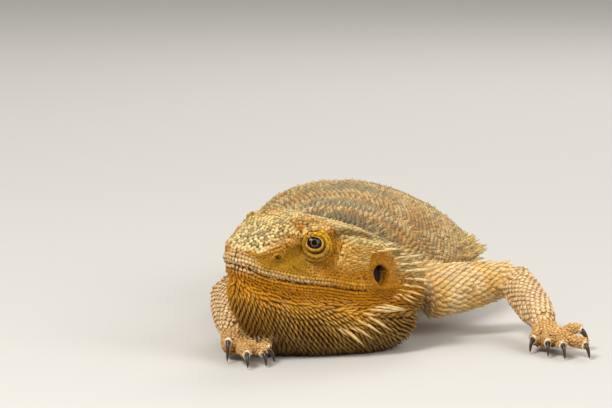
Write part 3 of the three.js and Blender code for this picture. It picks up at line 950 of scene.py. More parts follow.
def beard_rows(skin, tree):
    """Rows of spines round the throat pouch from the chin back, each spine behind a gap of the last row."""

    def measured(points):
        """Places on the skin, with how spiny they are, the gap between spines and the spines' lie."""
        place, face, weights = on_skin(skin, tree, np.atleast_2d(points))
        fields = (skin.spiny, skin.gap, skin.lie)
        spiny, gap, lie = (sampled(skin, field, face, weights) for field in fields)
        return place, spiny, gap, unit(lie)

    first = skin.spray[skin.spiny > POUCH_EDGE].min() + 1.5
    near = (np.abs(skin.spray - first) < 0.6) & (skin.spiny > 0.1)
    q = to_head(skin.points[near])
    angle = np.arctan2(q[:, 0], 3 - q[:, 2])
    bins = np.digitize(angle, np.linspace(angle.min(), angle.max(), 20))
    chin = np.array([q[bins == k].mean(0) for k in np.unique(bins)])
    row = spaced(from_head(chin), 1.3)
    rows = [row]
    for _ in range(60):
        place, _, gap, lie = measured((row[:-1] + row[1:]) / 2)
        row = place + lie * gap[:, None] * POUCH_STEP
        # each end grows by up to three spines, while it stays on the pouch
        for end, inner in ((0, 1), (-1, -2)):
            for _ in range(3):
                if len(row) < 2:
                    break
                place, spiny, *_ = measured(row[end] + unit(row[end] - row[inner]) * gap[end])
                if spiny[0] < POUCH_EDGE:
                    break
                row = np.vstack([place, row] if end == 0 else [row, place])
        place, spiny, gap, _ = measured(row)
        row, gap = place[spiny > 0.1], gap[spiny > 0.1]
        if len(row) < 4:
            break
        # spines that crowd drop out, and new ones fill the wide gaps
        kept = [row[0]]
        for point, room in zip(row[1:], gap[1:]):
            far = np.linalg.norm(point - kept[-1])
            if far > 6 * room or far < 0.68 * room:
                continue
            for share in np.linspace(0, 1, max(int(round(far / (room * 1.05))), 1) + 1)[1:-1]:
                kept.append(mix(kept[-1], point, share))
            kept.append(point)
        row = np.array(kept)
        rows.append(row)
    return np.vstack(rows)


LIP_ROWS = ((0.8, 1.1), (1.75, 1.0), (2.6, 0.95))  # how far off the line of the lips, and how far apart
CREST_ROWS = (0.0, 0.9)  # how far inwards from the ridge over the eye
CREST_GAP = 1.0


def face_rows(skin, tree):
    """Rows of plates along both lips, and along the ridges from the snout over the eyes to the temples."""
    rows = []
    crest = smooth_path(RIDGE[:-1], 80)
    for side in (1, -1):
        for off, gap in ((way * off, gap) for off, gap in LIP_ROWS for way in (1, -1)):
            round_front = np.radians(np.arange(90, 0, -3))
            backs = np.concatenate([np.full(len(round_front), 9.0), np.arange(9, 41, 0.5)])
            angles = np.concatenate([round_front, np.zeros(len(backs) - len(round_front))])
            ways = np.column_stack([side * np.cos(angles), -np.sin(angles), 0 * angles])
            reach = np.where(angles > 0, 9 - 8 * np.sin(angles), backs)
            starts = np.column_stack([0 * backs, backs, lip_height(reach) + off])
            rows.append(spaced(head_hits(tree, starts, ways), gap))
        for inward in CREST_ROWS:
            line = np.column_stack([side * (crest[:, 1] - inward), crest[:, 0], crest[:, 2] + 0.5])
            rows.append(spaced(on_skin(skin, tree, from_head(line))[0], CREST_GAP))
    return np.vstack(rows)


def body_rows(tree):
    """Rows round the head, the body, the limbs and the digits, and the gap of each of their places."""
    gullet = from_head(np.column_stack([np.zeros(40), np.linspace(1, 60, 40), np.linspace(-2, -6, 40)]))
    girth = np.interp(SPINE_LENGTH, [0, 14, 60, 100, 140, 180, 400], [26, 30, 46, 40, 24, 16, 9])
    # a middle line, how far the skin lies from it at most, and the gap between scales
    lines = [
        (gullet, 34, 1.12),
        (SPINE_PATH[NECK_STARTS:], girth[NECK_STARTS:], COAT["belly"][1]),
    ]
    for limb, (root, joint, end) in LIMBS.items():
        lines.append((np.linspace(root, joint, 12), 11, COAT["upper"][1]))
        lines.append((np.linspace(joint, end, 12), 11, COAT["lower"][1]))
        lines += [(np.linspace(a, b, 12), 3.6, COAT["paw"][1]) for a, b in digits(limb)]
    lattice, spacing = [], []
    for path, reach, gap in lines:
        found = ring_rows(tree, path, np.broadcast_to(reach, len(path)), gap)
        lattice += found
        spacing += [gap] * len(found)
    return np.array(lattice), np.array(spacing)


DARTS = 6  # how many random places are tried for each scale
EVENING = 0.22  # how much of the room they lack neighbouring scales gain in each round


def seed_scales(skin, tree, random):
    """The root of every scale: rows round the body, then what fills the places they miss, evened out."""
    a, b, c = (skin.points[skin.tris[:, i]] for i in range(3))
    area = np.linalg.norm(np.cross(b - a, c - a), axis=1) / 2
    gap = skin.gap[skin.tris].mean(1)
    density = area / gap**2
    wanted = int(density.sum() * DARTS)
    chosen = random.choice(len(area), wanted, p=density / density.sum())
    u, v = random.random((2, wanted))
    flip = u + v > 1
    u[flip], v[flip] = 1 - u[flip], 1 - v[flip]
    darts = a[chosen] + (b - a)[chosen] * u[:, None] + (c - a)[chosen] * v[:, None]
    spacer = Spacer()
    lattice, spacing = body_rows(tree)
    # places, the share of the gap that has to be free round them, and the gap they were made for
    sources = (
        (face_rows(skin, tree), 0.7, None),
        (beard_rows(skin, tree), 0.66, None),
        (lattice, 0.72, spacing),
        (darts, 0.73, None),
    )
    for points, share, own in sources:
        place, face, weights = on_skin(skin, tree, points)
        room = sampled(skin, skin.gap, face, weights)
        fits = np.ones(len(place), bool) if own is None else np.abs(own / room - 1) < 0.14
        for point, one in zip(place[fits].tolist(), room[fits].tolist()):
            spacer.offer(point, one * share)
    # neighbours that are too near push each other away
    points = np.array(spacer.points)
    for _ in range(5):
        points, face, weights = on_skin(skin, tree, points)
        gap = sampled(skin, skin.gap, face, weights)
        kd = KDTree(len(points))
        for index, point in enumerate(points.tolist()):
            kd.insert(point, index)
        kd.balance()
        found = [[other for _, other, _ in kd.find_n(point, 7)] for point in points.tolist()]
        near = np.array(found)[:, 1:]  # the first is the point itself
        apart = points[:, None, :] - points[near]
        far = np.linalg.norm(apart, axis=2)
        lack = np.clip(gap[:, None] - far, 0, None)
        points = points + (apart / np.maximum(far, 1e-6)[..., None] * lack[..., None]).sum(1) * EVENING
    return on_skin(skin, tree, points)


# ---- Closed forms ----


def closed_tris(count, rings):
    """The triangles of a closed form: a first point, rings of count points each, and a last point."""
    last = 1 + (rings - 1) * count
    tris = []
    for k in range(count):
        n = (k + 1) % count
        tris.append((0, 1 + n, 1 + k))
        for p in range(1, last, count):
            r = p + count
            tris += [(p + k, p + n, r + k), (p + n, r + n, r + k)]
        tris.append((last + k, last + n, last + count))
    return np.array(tris)


def facing_out(points, tris, middle=0.0):
    """The triangles, all turned over if they face the middle."""
    a, b, c = (points[tris[:, i]] - middle for i in range(3))
    return np.ascontiguousarray(tris[:, ::-1] if (np.cross(a, b) * c).sum() < 0 else tris)


class Shape:
    """A small closed leaf: rings of one section along its length, pointed at both ends.

    Each station says how far along it is, its half width and its height, all as shares of the scale's own.
    A section says how far across and how high each of its points is. Undersides are made half as deep.
    """

    def __init__(self, stations, section):
        first, *rings, last = stations
        verts = [(first[0], 0, first[2])]
        section = [(across, rise if rise > 0 else rise / 2) for across, rise in section]
        for along, half, tall in rings:
            verts += [(along, across * half, rise * tall) for across, rise in section]
        verts.append((last[0], 0, last[2]))
        self.verts = np.array(verts, float)
        self.tris = facing_out(self.verts, closed_tris(len(section), len(rings)))


ROUND = ((-1, 0.0), (-0.74, 0.74), (0, 1.0), (0.74, 0.74), (1, 0.0), (0, -0.8))
KEEL = ((-1, 0.0), (-0.4, 0.42), (0, 1.0), (0.4, 0.42), (1, 0.0), (0, -0.6))
THORN = ((-1, 0.0), (0, 1.0), (1, 0.0), (0, -0.7))
GRANULE = Shape(((0, 0, 0), (0.2, 0.8, 0.75), (0.52, 1, 1), (0.82, 0.7, 0.75), (1, 0, 0.2)), ROUND)
KEELED = Shape(((0, 0, 0), (0.2, 0.8, 0.5), (0.5, 1, 0.85), (0.8, 0.62, 1), (1.06, 0, 0.95)), KEEL)
SPINY = Shape(((0, 0, 0), (0.1, 0.75, 0.5), (0.3, 1, 0.9), (0.62, 0.66, 0.95), (1, 0, 0.6)), THORN)


def store_tints(mesh, tints):
    """Puts a colour for each vertex in the mesh's Tint attribute."""
    layer = mesh.color_attributes.new("Tint", "FLOAT_COLOR", "POINT")
    rgba = np.column_stack([tints, np.ones(len(tints))])
    layer.data.foreach_set("color", rgba.ravel().astype(np.float32))


def mesh_of(name, verts, tris, tints, uvs=None):
    """A smooth mesh of triangles, with its Tint and, for the coat, its OFBake map."""
    mesh = bpy.data.meshes.new(name)
    mesh.vertices.add(len(verts))
    mesh.vertices.foreach_set("co", (verts * MM).ravel())
    mesh.loops.add(len(tris) * 3)
    mesh.loops.foreach_set("vertex_index", tris.ravel())
    mesh.polygons.add(len(tris))
    mesh.polygons.foreach_set("loop_start", np.arange(0, len(tris) * 3, 3))
    mesh.update(calc_edges=True)
    mesh.polygons.foreach_set("use_smooth", np.ones(len(tris), bool))
    if uvs is not None:
        layer = mesh.uv_layers.new(name="OFBake")
        layer.data.foreach_set("uv", uvs[tris.ravel()].ravel())
    store_tints(mesh, tints)
    mesh.validate()
    return mesh


PATCH = 0.003  # how wide each scale's patch is on the OFBake map
LEAD = 0.3  # the share of a scale's length that lies ahead of its root
FLOOR_GAP = 0.03  # how far every scale stays above the floor


def leaves(plan, mask, shape):
    """Vertices, triangles, map and tints of the masked scales, as copies of one shape."""
    own = {key: value[mask][:, None] for key, value in plan.items()}
    v = shape.verts
    x = (v[:, 0] - LEAD) * own["length"]
    y = v[:, 1] * own["width"] / 2
    z = v[:, 2] * own["height"]
    z = z + np.tan(np.radians(own["tilt"])) * (x + 0.3 * LEAD * own["length"]) - own["sink"]
    z = z + own["curl"] * np.clip(x, 0, None) ** 2 / own["length"]
    across = np.cross(own["normal"], own["lie"])
    place = own["root"] + x[..., None] * own["lie"] + y[..., None] * across + z[..., None] * own["normal"]
    place[..., 2] = np.maximum(place[..., 2], FLOOR_GAP)
    uvs = own["uv"] + np.column_stack([v[:, 0] - 0.5, v[:, 1] * 0.4]) * PATCH
    # painted shade: each scale darkens from its own colour at the keel and tip towards its base colour at
    # the root and low edges
    rise = np.clip(v[:, 2], 0, 1) * 0.55 + np.clip(v[:, 0], 0, 1) * 0.45
    share = rise ** (0.8 + 1.5 * own["spiny"])
    tint = own["base"] + (own["tip"] - own["base"]) * share[..., None]
    tris = shape.tris + (np.arange(len(place)) * len(v))[:, None, None]
    return place.reshape(-1, 3), tris.reshape(-1, 3), uvs.reshape(-1, 2), tint.reshape(-1, 3)


def stacked(parts):
    """Several mesh arrays as one."""
    verts, tris, uvs, tints = zip(*parts)
    firsts = np.cumsum([0] + [len(v) for v in verts[:-1]])
    tris = [t + first for t, first in zip(tris, firsts)]
    return np.vstack(verts), np.vstack(tris), np.vstack(uvs), np.vstack(tints)


# ---- The coat's plan ----

# Each piece of the coat: the kinds of place it covers, and its material slot.
COAT_PIECES = {
    "head": (["head"], "head_scales"),
    "beard": (["beard"], "beard_spines"),
    "shoulders": (["neck", "chest"], "back_scales"),
    "back": (["belly"], "back_scales"),
    "under": (["under"], "back_scales"),
    "tail": (["tail"], "tail_scales"),
    "limbs": (["upper", "lower"], "limb_scales"),
    "paws": (["paw"], "limb_scales"),
}
ROUGH = ("neck", "chest", "belly", "tail")  # where some scales are speckled or stand taller


def coat_plan(skin):
    """Every scale's root, size, lie and colour."""
    c = bpy.context.scene.dragon
    random = np.random.default_rng(7)
    tree = skin.tree()
    root, face, weights = seed_scales(skin, tree, random)
    count = len(root)

    def get(field):
        return sampled(skin, field, face, weights)

    normal = unit(get(skin.normal))
    lie = get(skin.lie)
    lie = unit(lie - normal * (lie * normal).sum(1, keepdims=True))
    sway = (random.random(count) - 0.5) * 0.22
    lie = unit(lie + np.cross(normal, lie) * sway[:, None])
    gap = get(skin.gap)
    vary = 0.9 + 0.2 * random.random(count)
    kinds = skin.kinds[skin.tris[face, 0]]
    ground = get(skin.ground)
    spiny = get(skin.spiny)
    shade = 0.82 + 0.36 * random.random(count) ** 1.3
    tip = get(skin.colour) * shade[:, None]
    speckle = (random.random(count) < 0.16) & np.isin(kinds, ROUGH)
    tip[speckle] = mix(tip[speckle], np.array(c.speckle_colour), 0.65)
    tall = (random.random(count) < 0.05) & np.isin(kinds, (*ROUGH, "upper"))
    tip[tall] = mix(tip[tall], np.array(c.back_pale), 0.7)
    dull = (random.random(count) < 0.36) & (get(skin.crown) > 0.5)
    tip[dull] = mix(tip[dull], np.array(c.crown_gap), 0.6)
    bearded = spiny[:, None]
    tip = mix(tip * (1 + 0.55 * bearded), np.array(c.spine_colour), 0.18 * bearded)
    # painted shade: a scale's base colour is its own darkened towards the skin between scales, almost
    # wholly on the beard
    base = mix(mix(tip * 0.62, ground, 0.45), ground, bearded * 0.9)
    scales = {
        "root": root,
        "normal": normal,
        "lie": lie,
        "length": gap * get(skin.long) * vary * (1 + 0.3 * tall),
        "width": gap * get(skin.wide) * (0.94 + 0.12 * random.random(count)),
        "height": get(skin.high) * vary * (1 + 0.6 * tall),
        "tilt": get(skin.tilt) * (0.85 + 0.3 * random.random(count)) + 7 * tall,
        "sink": 0.06 * gap,
        "curl": np.zeros(count),
        "tip": tip,
        "base": base,
        "uv": unwrap(skin, root, face),
        "spiny": spiny,
        "kind": kinds,
    }
    # nothing grows in the hollows or on the edges of the lids
    keep = get(skin.bare) < 0.35
    q = to_head(root)
    for side in (1, -1):
        _, far, angle, about = eye_polar(q, side)
        keep &= ~((far < EYE_RADIUS * 1.6) & (angle < lid_edge(about) + 2.5))
    spines = long_spines(skin, tree, random)
    return {key: np.concatenate([value[keep], spines[key]]) for key, value in scales.items()}


# Lines on the left of the head, in its own frame, that the long spines stand along.
REAR_JAW = ((20.5, 49.5, 7), (21.7, 51.8, 4), (22.9, 52.3, 0.5), (22.6, 51, -2.5), (22.3, 49.8, -4.2))
LOW_JAW = ((20.8, 44.5, -7), (19.9, 40.5, -9), (20, 36.5, -12), (19, 31.5, -15.3))
TEMPLE = ((16.5, 34, 7.2), (17.3, 38.5, 7.8), (18.1, 42.6, 8.5))
NECK_CREST = ((17, 44, 9.2), (18.7, 46.5, 8.2), (19.7, 48, 6.7), (20.9, 49.4, 5.0))
NAPE = ((-20, 56, 6), (-12, 58, 9.5), (0, 59, 11), (12, 58, 9.5), (20, 56, 6))


def head_spines(side, random):
    """The spines on one side of the head: places, ways, lengths and kinds of place."""

    def varied(count):
        return 0.85 + 0.3 * random.random(count)

    flip = np.array((side, 1, 1))
    for ahead, count, length in ((0, 8, 8.0), (3.2, 8, 5.0)):
        edge = smooth_path(REAR_JAW, count) - (0, ahead, 0)
        drop = np.linspace(-0.25, 0.3, count)
        way = np.column_stack([np.full(count, 0.35 * side), np.ones(count), -drop])
        yield edge * flip, way, length * np.linspace(1.05, 0.65, count) * varied(count), "beard"
    for ahead, count, length in ((0, 7, 8.4), (3.6, 6, 5.4)):
        edge = smooth_path(LOW_JAW, count) - (0, ahead, 0)
        yield edge * flip, (0.3 * side, 1, -0.42), length * varied(count), "beard"
    yield smooth_path(TEMPLE, 4) * flip, (0.25 * side, 1, 0.1), (2.6, 3.0, 4.0, 6.5), "head"
    yield smooth_path(NECK_CREST, 5) * flip, (0.35 * side, 1, 0.15), 4.0, "head"


def flank_spines(side, tree, random):
    """The fringe along one flank, likewise."""
    for lift, count, length in ((0.0, 46, 4.6), (0.1, 44, 3.4)):
        at = np.searchsorted(SPINE_LENGTH, np.linspace(56, VENT - 12, count))
        tangent = SPINE_TANGENT[at]
        level = unit(np.cross(tangent, (0, 0, 1))) * side
        outward = unit(level * math.cos(lift) + np.array((0, 0, math.sin(lift))))
        rays = zip(SPINE_PATH[at], outward)
        hits = [tree.ray_cast(Vector(start), Vector(way), 60)[0] for start, way in rays]
        good = np.array([hit is not None for hit in hits])
        places = np.array([hit for hit in hits if hit is not None])
        places = places + np.outer(random.random(len(places)) * 4.4 - 2.6, (0, 0, 1))
        splay = 0.6 + 0.6 * random.random((len(places), 1))
        way = unit(tangent[good] + splay * outward[good] + (0, 0, 0.1))
        share = np.linspace(0, 1, count)[good]
        taper = step(0, 0.12, share) * step(1, 0.85, share)
        yield places, way, length * (0.45 + 0.55 * taper) * (0.8 + 0.4 * random.random(good.sum())), "belly"


def long_spines(skin, tree, random):
    """The long pale spines: behind the jaws and ears, over the nape and along both flanks."""
    c = bpy.context.scene.dragon
    on_head = [row for side in (1, -1) for row in head_spines(side, random)]
    on_head.append((smooth_path(NAPE, 17), (0, 1, 0.25), 3.6, "neck"))
    rows = [(from_head(places), unit(way) @ HEAD_AXES.T, *rest) for places, way, *rest in on_head]
    rows += [row for side in (1, -1) for row in flank_spines(side, tree, random)]
    place, face, weights = on_skin(skin, tree, np.vstack([row[0] for row in rows]))
    count = len(place)
    way = np.vstack([np.broadcast_to(way, places.shape) for places, way, _, _ in rows])
    length = np.concatenate([np.broadcast_to(length, len(places)) for places, _, length, _ in rows])
    kinds = np.concatenate([np.full(len(places), kind, dtype="U8") for places, _, _, kind in rows])
    normal = unit(sampled(skin, skin.normal, face, weights))
    bristling = np.isin(kinds, ("beard", "head"))
    rise = (way * normal).sum(1)
    lie = unit(way - normal * rise[:, None])
    rise = np.clip(rise + 0.15 * bristling, np.where(bristling, 0.3, 0.12), 0.6)
    pale = np.where(np.isin(kinds, ("belly", "neck"))[:, None], c.fringe_colour, c.spine_colour)
    tip = pale * (0.8 + 0.3 * random.random((count, 1)))
    return {
        "root": place,
        "normal": normal,
        "lie": lie,
        "length": length,
        "width": 0.6 + 0.1 * length,
        "height": 0.4 + 0.09 * length,
        "tilt": np.degrees(np.arcsin(rise)),
        "sink": np.full(count, 0.2),
        "curl": np.full(count, 0.08),
        "tip": tip,
        "base": mix(sampled(skin, skin.colour, face, weights), tip, 0.35),
        "uv": unwrap(skin, place, face),
        "spiny": np.ones(count),
        "kind": kinds,
    }


def unwrap(skin, root, face):
    """Each root's place on an unwrap of the skin: every flesh node is a tube cut open, in its own cell."""
    label = skin.label[skin.tris[face, 0]]
    u, v = np.zeros((2, len(root)))
    for index in np.unique(label):
        mine = label == index
        points = skin.points[skin.label == index]
        middle = points.mean(0)
        axes = np.linalg.svd(points - middle, full_matrices=False)[2]
        far = (points - middle) @ axes[0]
        rel = (root[mine] - middle) @ axes.T
        u[mine] = np.clip((rel[:, 0] - far.min()) / np.ptp(far), 0, 1)
        v[mine] = np.arctan2(rel[:, 2], rel[:, 1]) / (2 * math.pi) + 0.5
    # the head and the beard spread over the whole map, the rest over a grid of cells
    cells = 4
    spot = label % cells**2
    big = np.isin(label, [FLESH.index(name) for name in ("head", "beard")])
    u = np.where(big, 0.01 + 0.98 * u, (spot % cells + 0.03 + 0.94 * u) / cells)
    v = np.where(big, 0.01 + 0.98 * v, (spot // cells + 0.03 + 0.94 * v) / cells)
    return np.column_stack([u, v])


# ---- Materials ----


def tinted_material(name, roughness, grain, grain_depth, variation=0.25, gloss=0.2):
    """Takes its colour from the mesh's own Tint, with fine procedural variation and relief."""
    material = bpy.data.materials.new(name)
    material.use_nodes = True
    tree = material.node_tree
    tree.nodes.clear()
    link = tree.links.new

    def add(kind, inputs=(), **settings):
        made = tree.nodes.new(kind)
        for key, value in settings.items():
            setattr(made, key, value)
        for key, value in inputs:
            made.inputs[key].default_value = value
        return made

    output = add("ShaderNodeOutputMaterial")
    shader = add("ShaderNodeBsdfPrincipled", (("Roughness", roughness), ("Specular IOR Level", gloss)))
    tint = add("ShaderNodeAttribute", attribute_name="Tint")
    where = add("ShaderNodeTexCoord")
    lumps = add("ShaderNodeTexNoise", (("Scale", 1 / (grain * MM * 4)), ("Detail", 3)))
    relief = add("ShaderNodeTexNoise", (("Scale", 1 / (grain * MM)), ("Detail", 2)))
    bumps = add("ShaderNodeBump", (("Strength", 0.5), ("Distance", grain_depth * MM)))
    blend = add("ShaderNodeMix", ((0, 1),), data_type="RGBA", blend_type="MULTIPLY")
    ramp = add("ShaderNodeValToRGB")
    greys = (1 - variation, 1 + variation * 0.4)
    for element, position, grey in zip(ramp.color_ramp.elements, (0.3, 0.7), greys):
        element.position = position
        element.color = (grey, grey, grey, 1)
    link(where.outputs["Object"], lumps.inputs["Vector"])
    link(where.outputs["Object"], relief.inputs["Vector"])
    link(lumps.outputs["Fac"], ramp.inputs["Fac"])
    link(tint.outputs["Color"], blend.inputs[6])
    link(ramp.outputs["Color"], blend.inputs[7])
    link(blend.outputs[2], shader.inputs["Base Color"])
    link(relief.outputs["Fac"], bumps.inputs["Height"])
    link(bumps.outputs["Normal"], shader.inputs["Normal"])
    link(shader.outputs["BSDF"], output.inputs["Surface"])
    return material


# ---- Pieces ----

_made = {}  # the skin's Surface, kept for the scales that grow on it


def place_piece(name, mesh, material, slot, replaced=()):
    """Puts a finished mesh in the scene, riding on the one body."""
    old = bpy.data.objects.get(name)
    if old is not None:
        bpy.data.objects.remove(old)
    piece = bpy.data.objects.new(name, mesh)
    bpy.context.scene.collection.objects.link(piece)
    mesh.materials.clear()
    mesh.materials.append(material)
    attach(piece, "root")
    if replaced:
        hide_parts(*replaced)


# ---- Eyes and claws ----

CORNEA = (0.22, 22)  # how far the cornea bulges from the ball, and how many degrees off the gaze it fades
IRIS = (26.0, 3.5)  # degrees from the gaze to the edge of the dark iris, and more than that sideways
PUPIL = 12.5  # degrees from the gaze to the thin ring round the pupil


def eyeball(name, side, c):
    """A ball with a bulging cornea, a pupil in a thin ring, a dark iris and a bright rim."""
    segments = 48
    polar = np.concatenate([np.linspace(0, 60, 31), np.linspace(65, 180, 12)])
    turnings = np.linspace(0, 2 * math.pi, segments, endpoint=False)
    degrees = np.concatenate([[0], np.repeat(polar[1:-1], segments), [180]])
    about = np.concatenate([[0], np.tile(turnings, len(polar) - 2), [0]])
    axis = gaze_axis(side)
    level = unit(np.cross((0, 0, 1), axis))
    upright = np.cross(axis, level)
    ring = np.cos(about)[:, None] * level + np.sin(about)[:, None] * upright
    off_axis = np.radians(degrees)[:, None]
    far = EYE_RADIUS + CORNEA[0] * bump(degrees, CORNEA[1])[:, None]
    middle = EYE * (side, 1, 1)
    points = middle + far * (np.cos(off_axis) * axis + np.sin(off_axis) * ring)
    # the dark iris is wider than high
    off = degrees - (IRIS[0] + IRIS[1] * np.cos(2 * about))
    streak = noise(np.column_stack([about * 9, degrees * 0.12, degrees * 0]), 1.0, 5)
    tint = layered(
        np.array(c.iris_colour) * (0.55 + 0.8 * streak)[:, None],
        (
            (step(6, 14, off), c.iris_rim),
            (bump(off - 1.4, 1.4) * 0.9, c.pupil_ring),
            (step(0.6, -0.4, off), c.iris_dark),
            (step(-0.5, -2.5, degrees - PUPIL), c.pupil_colour),
            (bump(degrees - PUPIL, 1.3) * 0.22, c.pupil_ring),
        ),
    )
    tris = facing_out(points, closed_tris(segments, len(polar) - 2), middle)
    return mesh_of(name, from_head(points), tris, tint)


CLAW_ROOT = (0.6, 1.0)  # how far behind the end of its digit, and below it, a claw starts
CLAW_REACH = 2.6  # how far ahead of its base a claw's tip is
CLAW_GAP = 0.15  # how far its tip stays above the floor
SHEATH = 0.15  # the share of a claw that its pale sheath covers


def claw_mesh(name, base, tip, way, c):
    """A curved horn from the pale sheath at its base to its tip, deeper than wide."""
    dark, edge, sheath = (np.array(colour) for colour in (c.claw_colour, c.claw_edge, c.cuticle_colour))
    segments = 10
    shares = (0, 0.14, *np.linspace(0.16, 1, 8)[:-1])
    drop = base[2] - tip[2]
    far = np.linalg.norm((tip - base)[:2])
    side = np.cross(way, (0, 0, 1))
    verts, tints = [base - way * 0.8], [sheath]
    for share in shares:
        angle = share * math.pi / 2
        centre = base + way * far * math.sin(angle) * 0.98
        centre = np.array([centre[0], centre[1], base[2] - drop * (1 - math.cos(angle))])
        thick = 1.45 - share if share < SHEATH else 0.92 * (1 - share) ** 0.6 + 0.05
        heading = unit(way * math.cos(angle) * far - np.array((0, 0, drop * math.sin(angle))))
        over = np.cross(side, heading)
        over = over if over[2] > 0 or share > 0.6 else -over
        for k in range(segments):
            a = 2 * math.pi * k / segments
            verts.append(centre + side * math.cos(a) * thick * 0.75 + over * math.sin(a) * thick)
            horn = mix(dark, edge, float(step(0.2, -0.9, math.sin(a))) * (0.35 + 0.5 * (1 - share)))
            tints.append(sheath if share < SHEATH else horn)
    verts = np.array([*verts, tip])
    tris = facing_out(verts, closed_tris(segments, len(shares)), verts.mean(0))
    return mesh_of(name, verts, tris, np.array([*tints, dark]))


# ---- The stage ----

FLOOR_HALF = 4.0  # metres
# Each light's place in metres, its size in metres and its power in watts.
LIGHTS = {
    "key": ((-0.45, -0.75, 0.95), 0.4, 12.5),
    "fill": ((0.8, -0.7, 0.6), 0.7, 6.0),
    "rim": ((0.2, 0.9, 0.8), 0.6, 4.5),
}
LIT_PLACE = (-0.01, -0.06, 0.02)
# The camera looks past AIM from AWAY in front of it, moved to its own right and up by SHIFT.
AIM = (-4.2, -84.1, 0)
AWAY = 950.0
SHIFT = (-6.72, 42.28)
LOOK = (4.5, 7.0)  # degrees: from the left, and down
LENS = 199.6
SENSOR = 36


def set_camera(scene):
    """A long lens from about a metre in front, a little above the animal."""
    azimuth, down = (math.radians(degrees) for degrees in LOOK)
    right = np.array((math.cos(azimuth), math.sin(azimuth), 0))
    level = np.array((-math.sin(azimuth), math.cos(azimuth), 0))
    ahead = level * math.cos(down) - np.array((0, 0, 1)) * math.sin(down)
    up = np.cross(right, ahead)
    place = np.array(AIM) - AWAY * ahead + SHIFT[0] * right + SHIFT[1] * up
    camera = bpy.data.cameras.new("camera")
    camera.lens = LENS
    camera.sensor_width = SENSOR
    camera.clip_start, camera.clip_end = 0.05, 20
    view = bpy.data.objects.new("camera", camera)
    axes = Matrix((right, up, -ahead)).transposed().to_4x4()
    view.matrix_world = Matrix.Translation(Vector(place * MM)) @ axes
    scene.collection.objects.link(view)
    scene.camera = view


# ---- Settings and operators ----


def colour_setting(name, about, code):
    """A colour that the user can change."""
    return bpy.props.FloatVectorProperty(
        name=name, description=about, default=srgb(code), min=0, max=1, size=3, subtype="COLOR"
    )


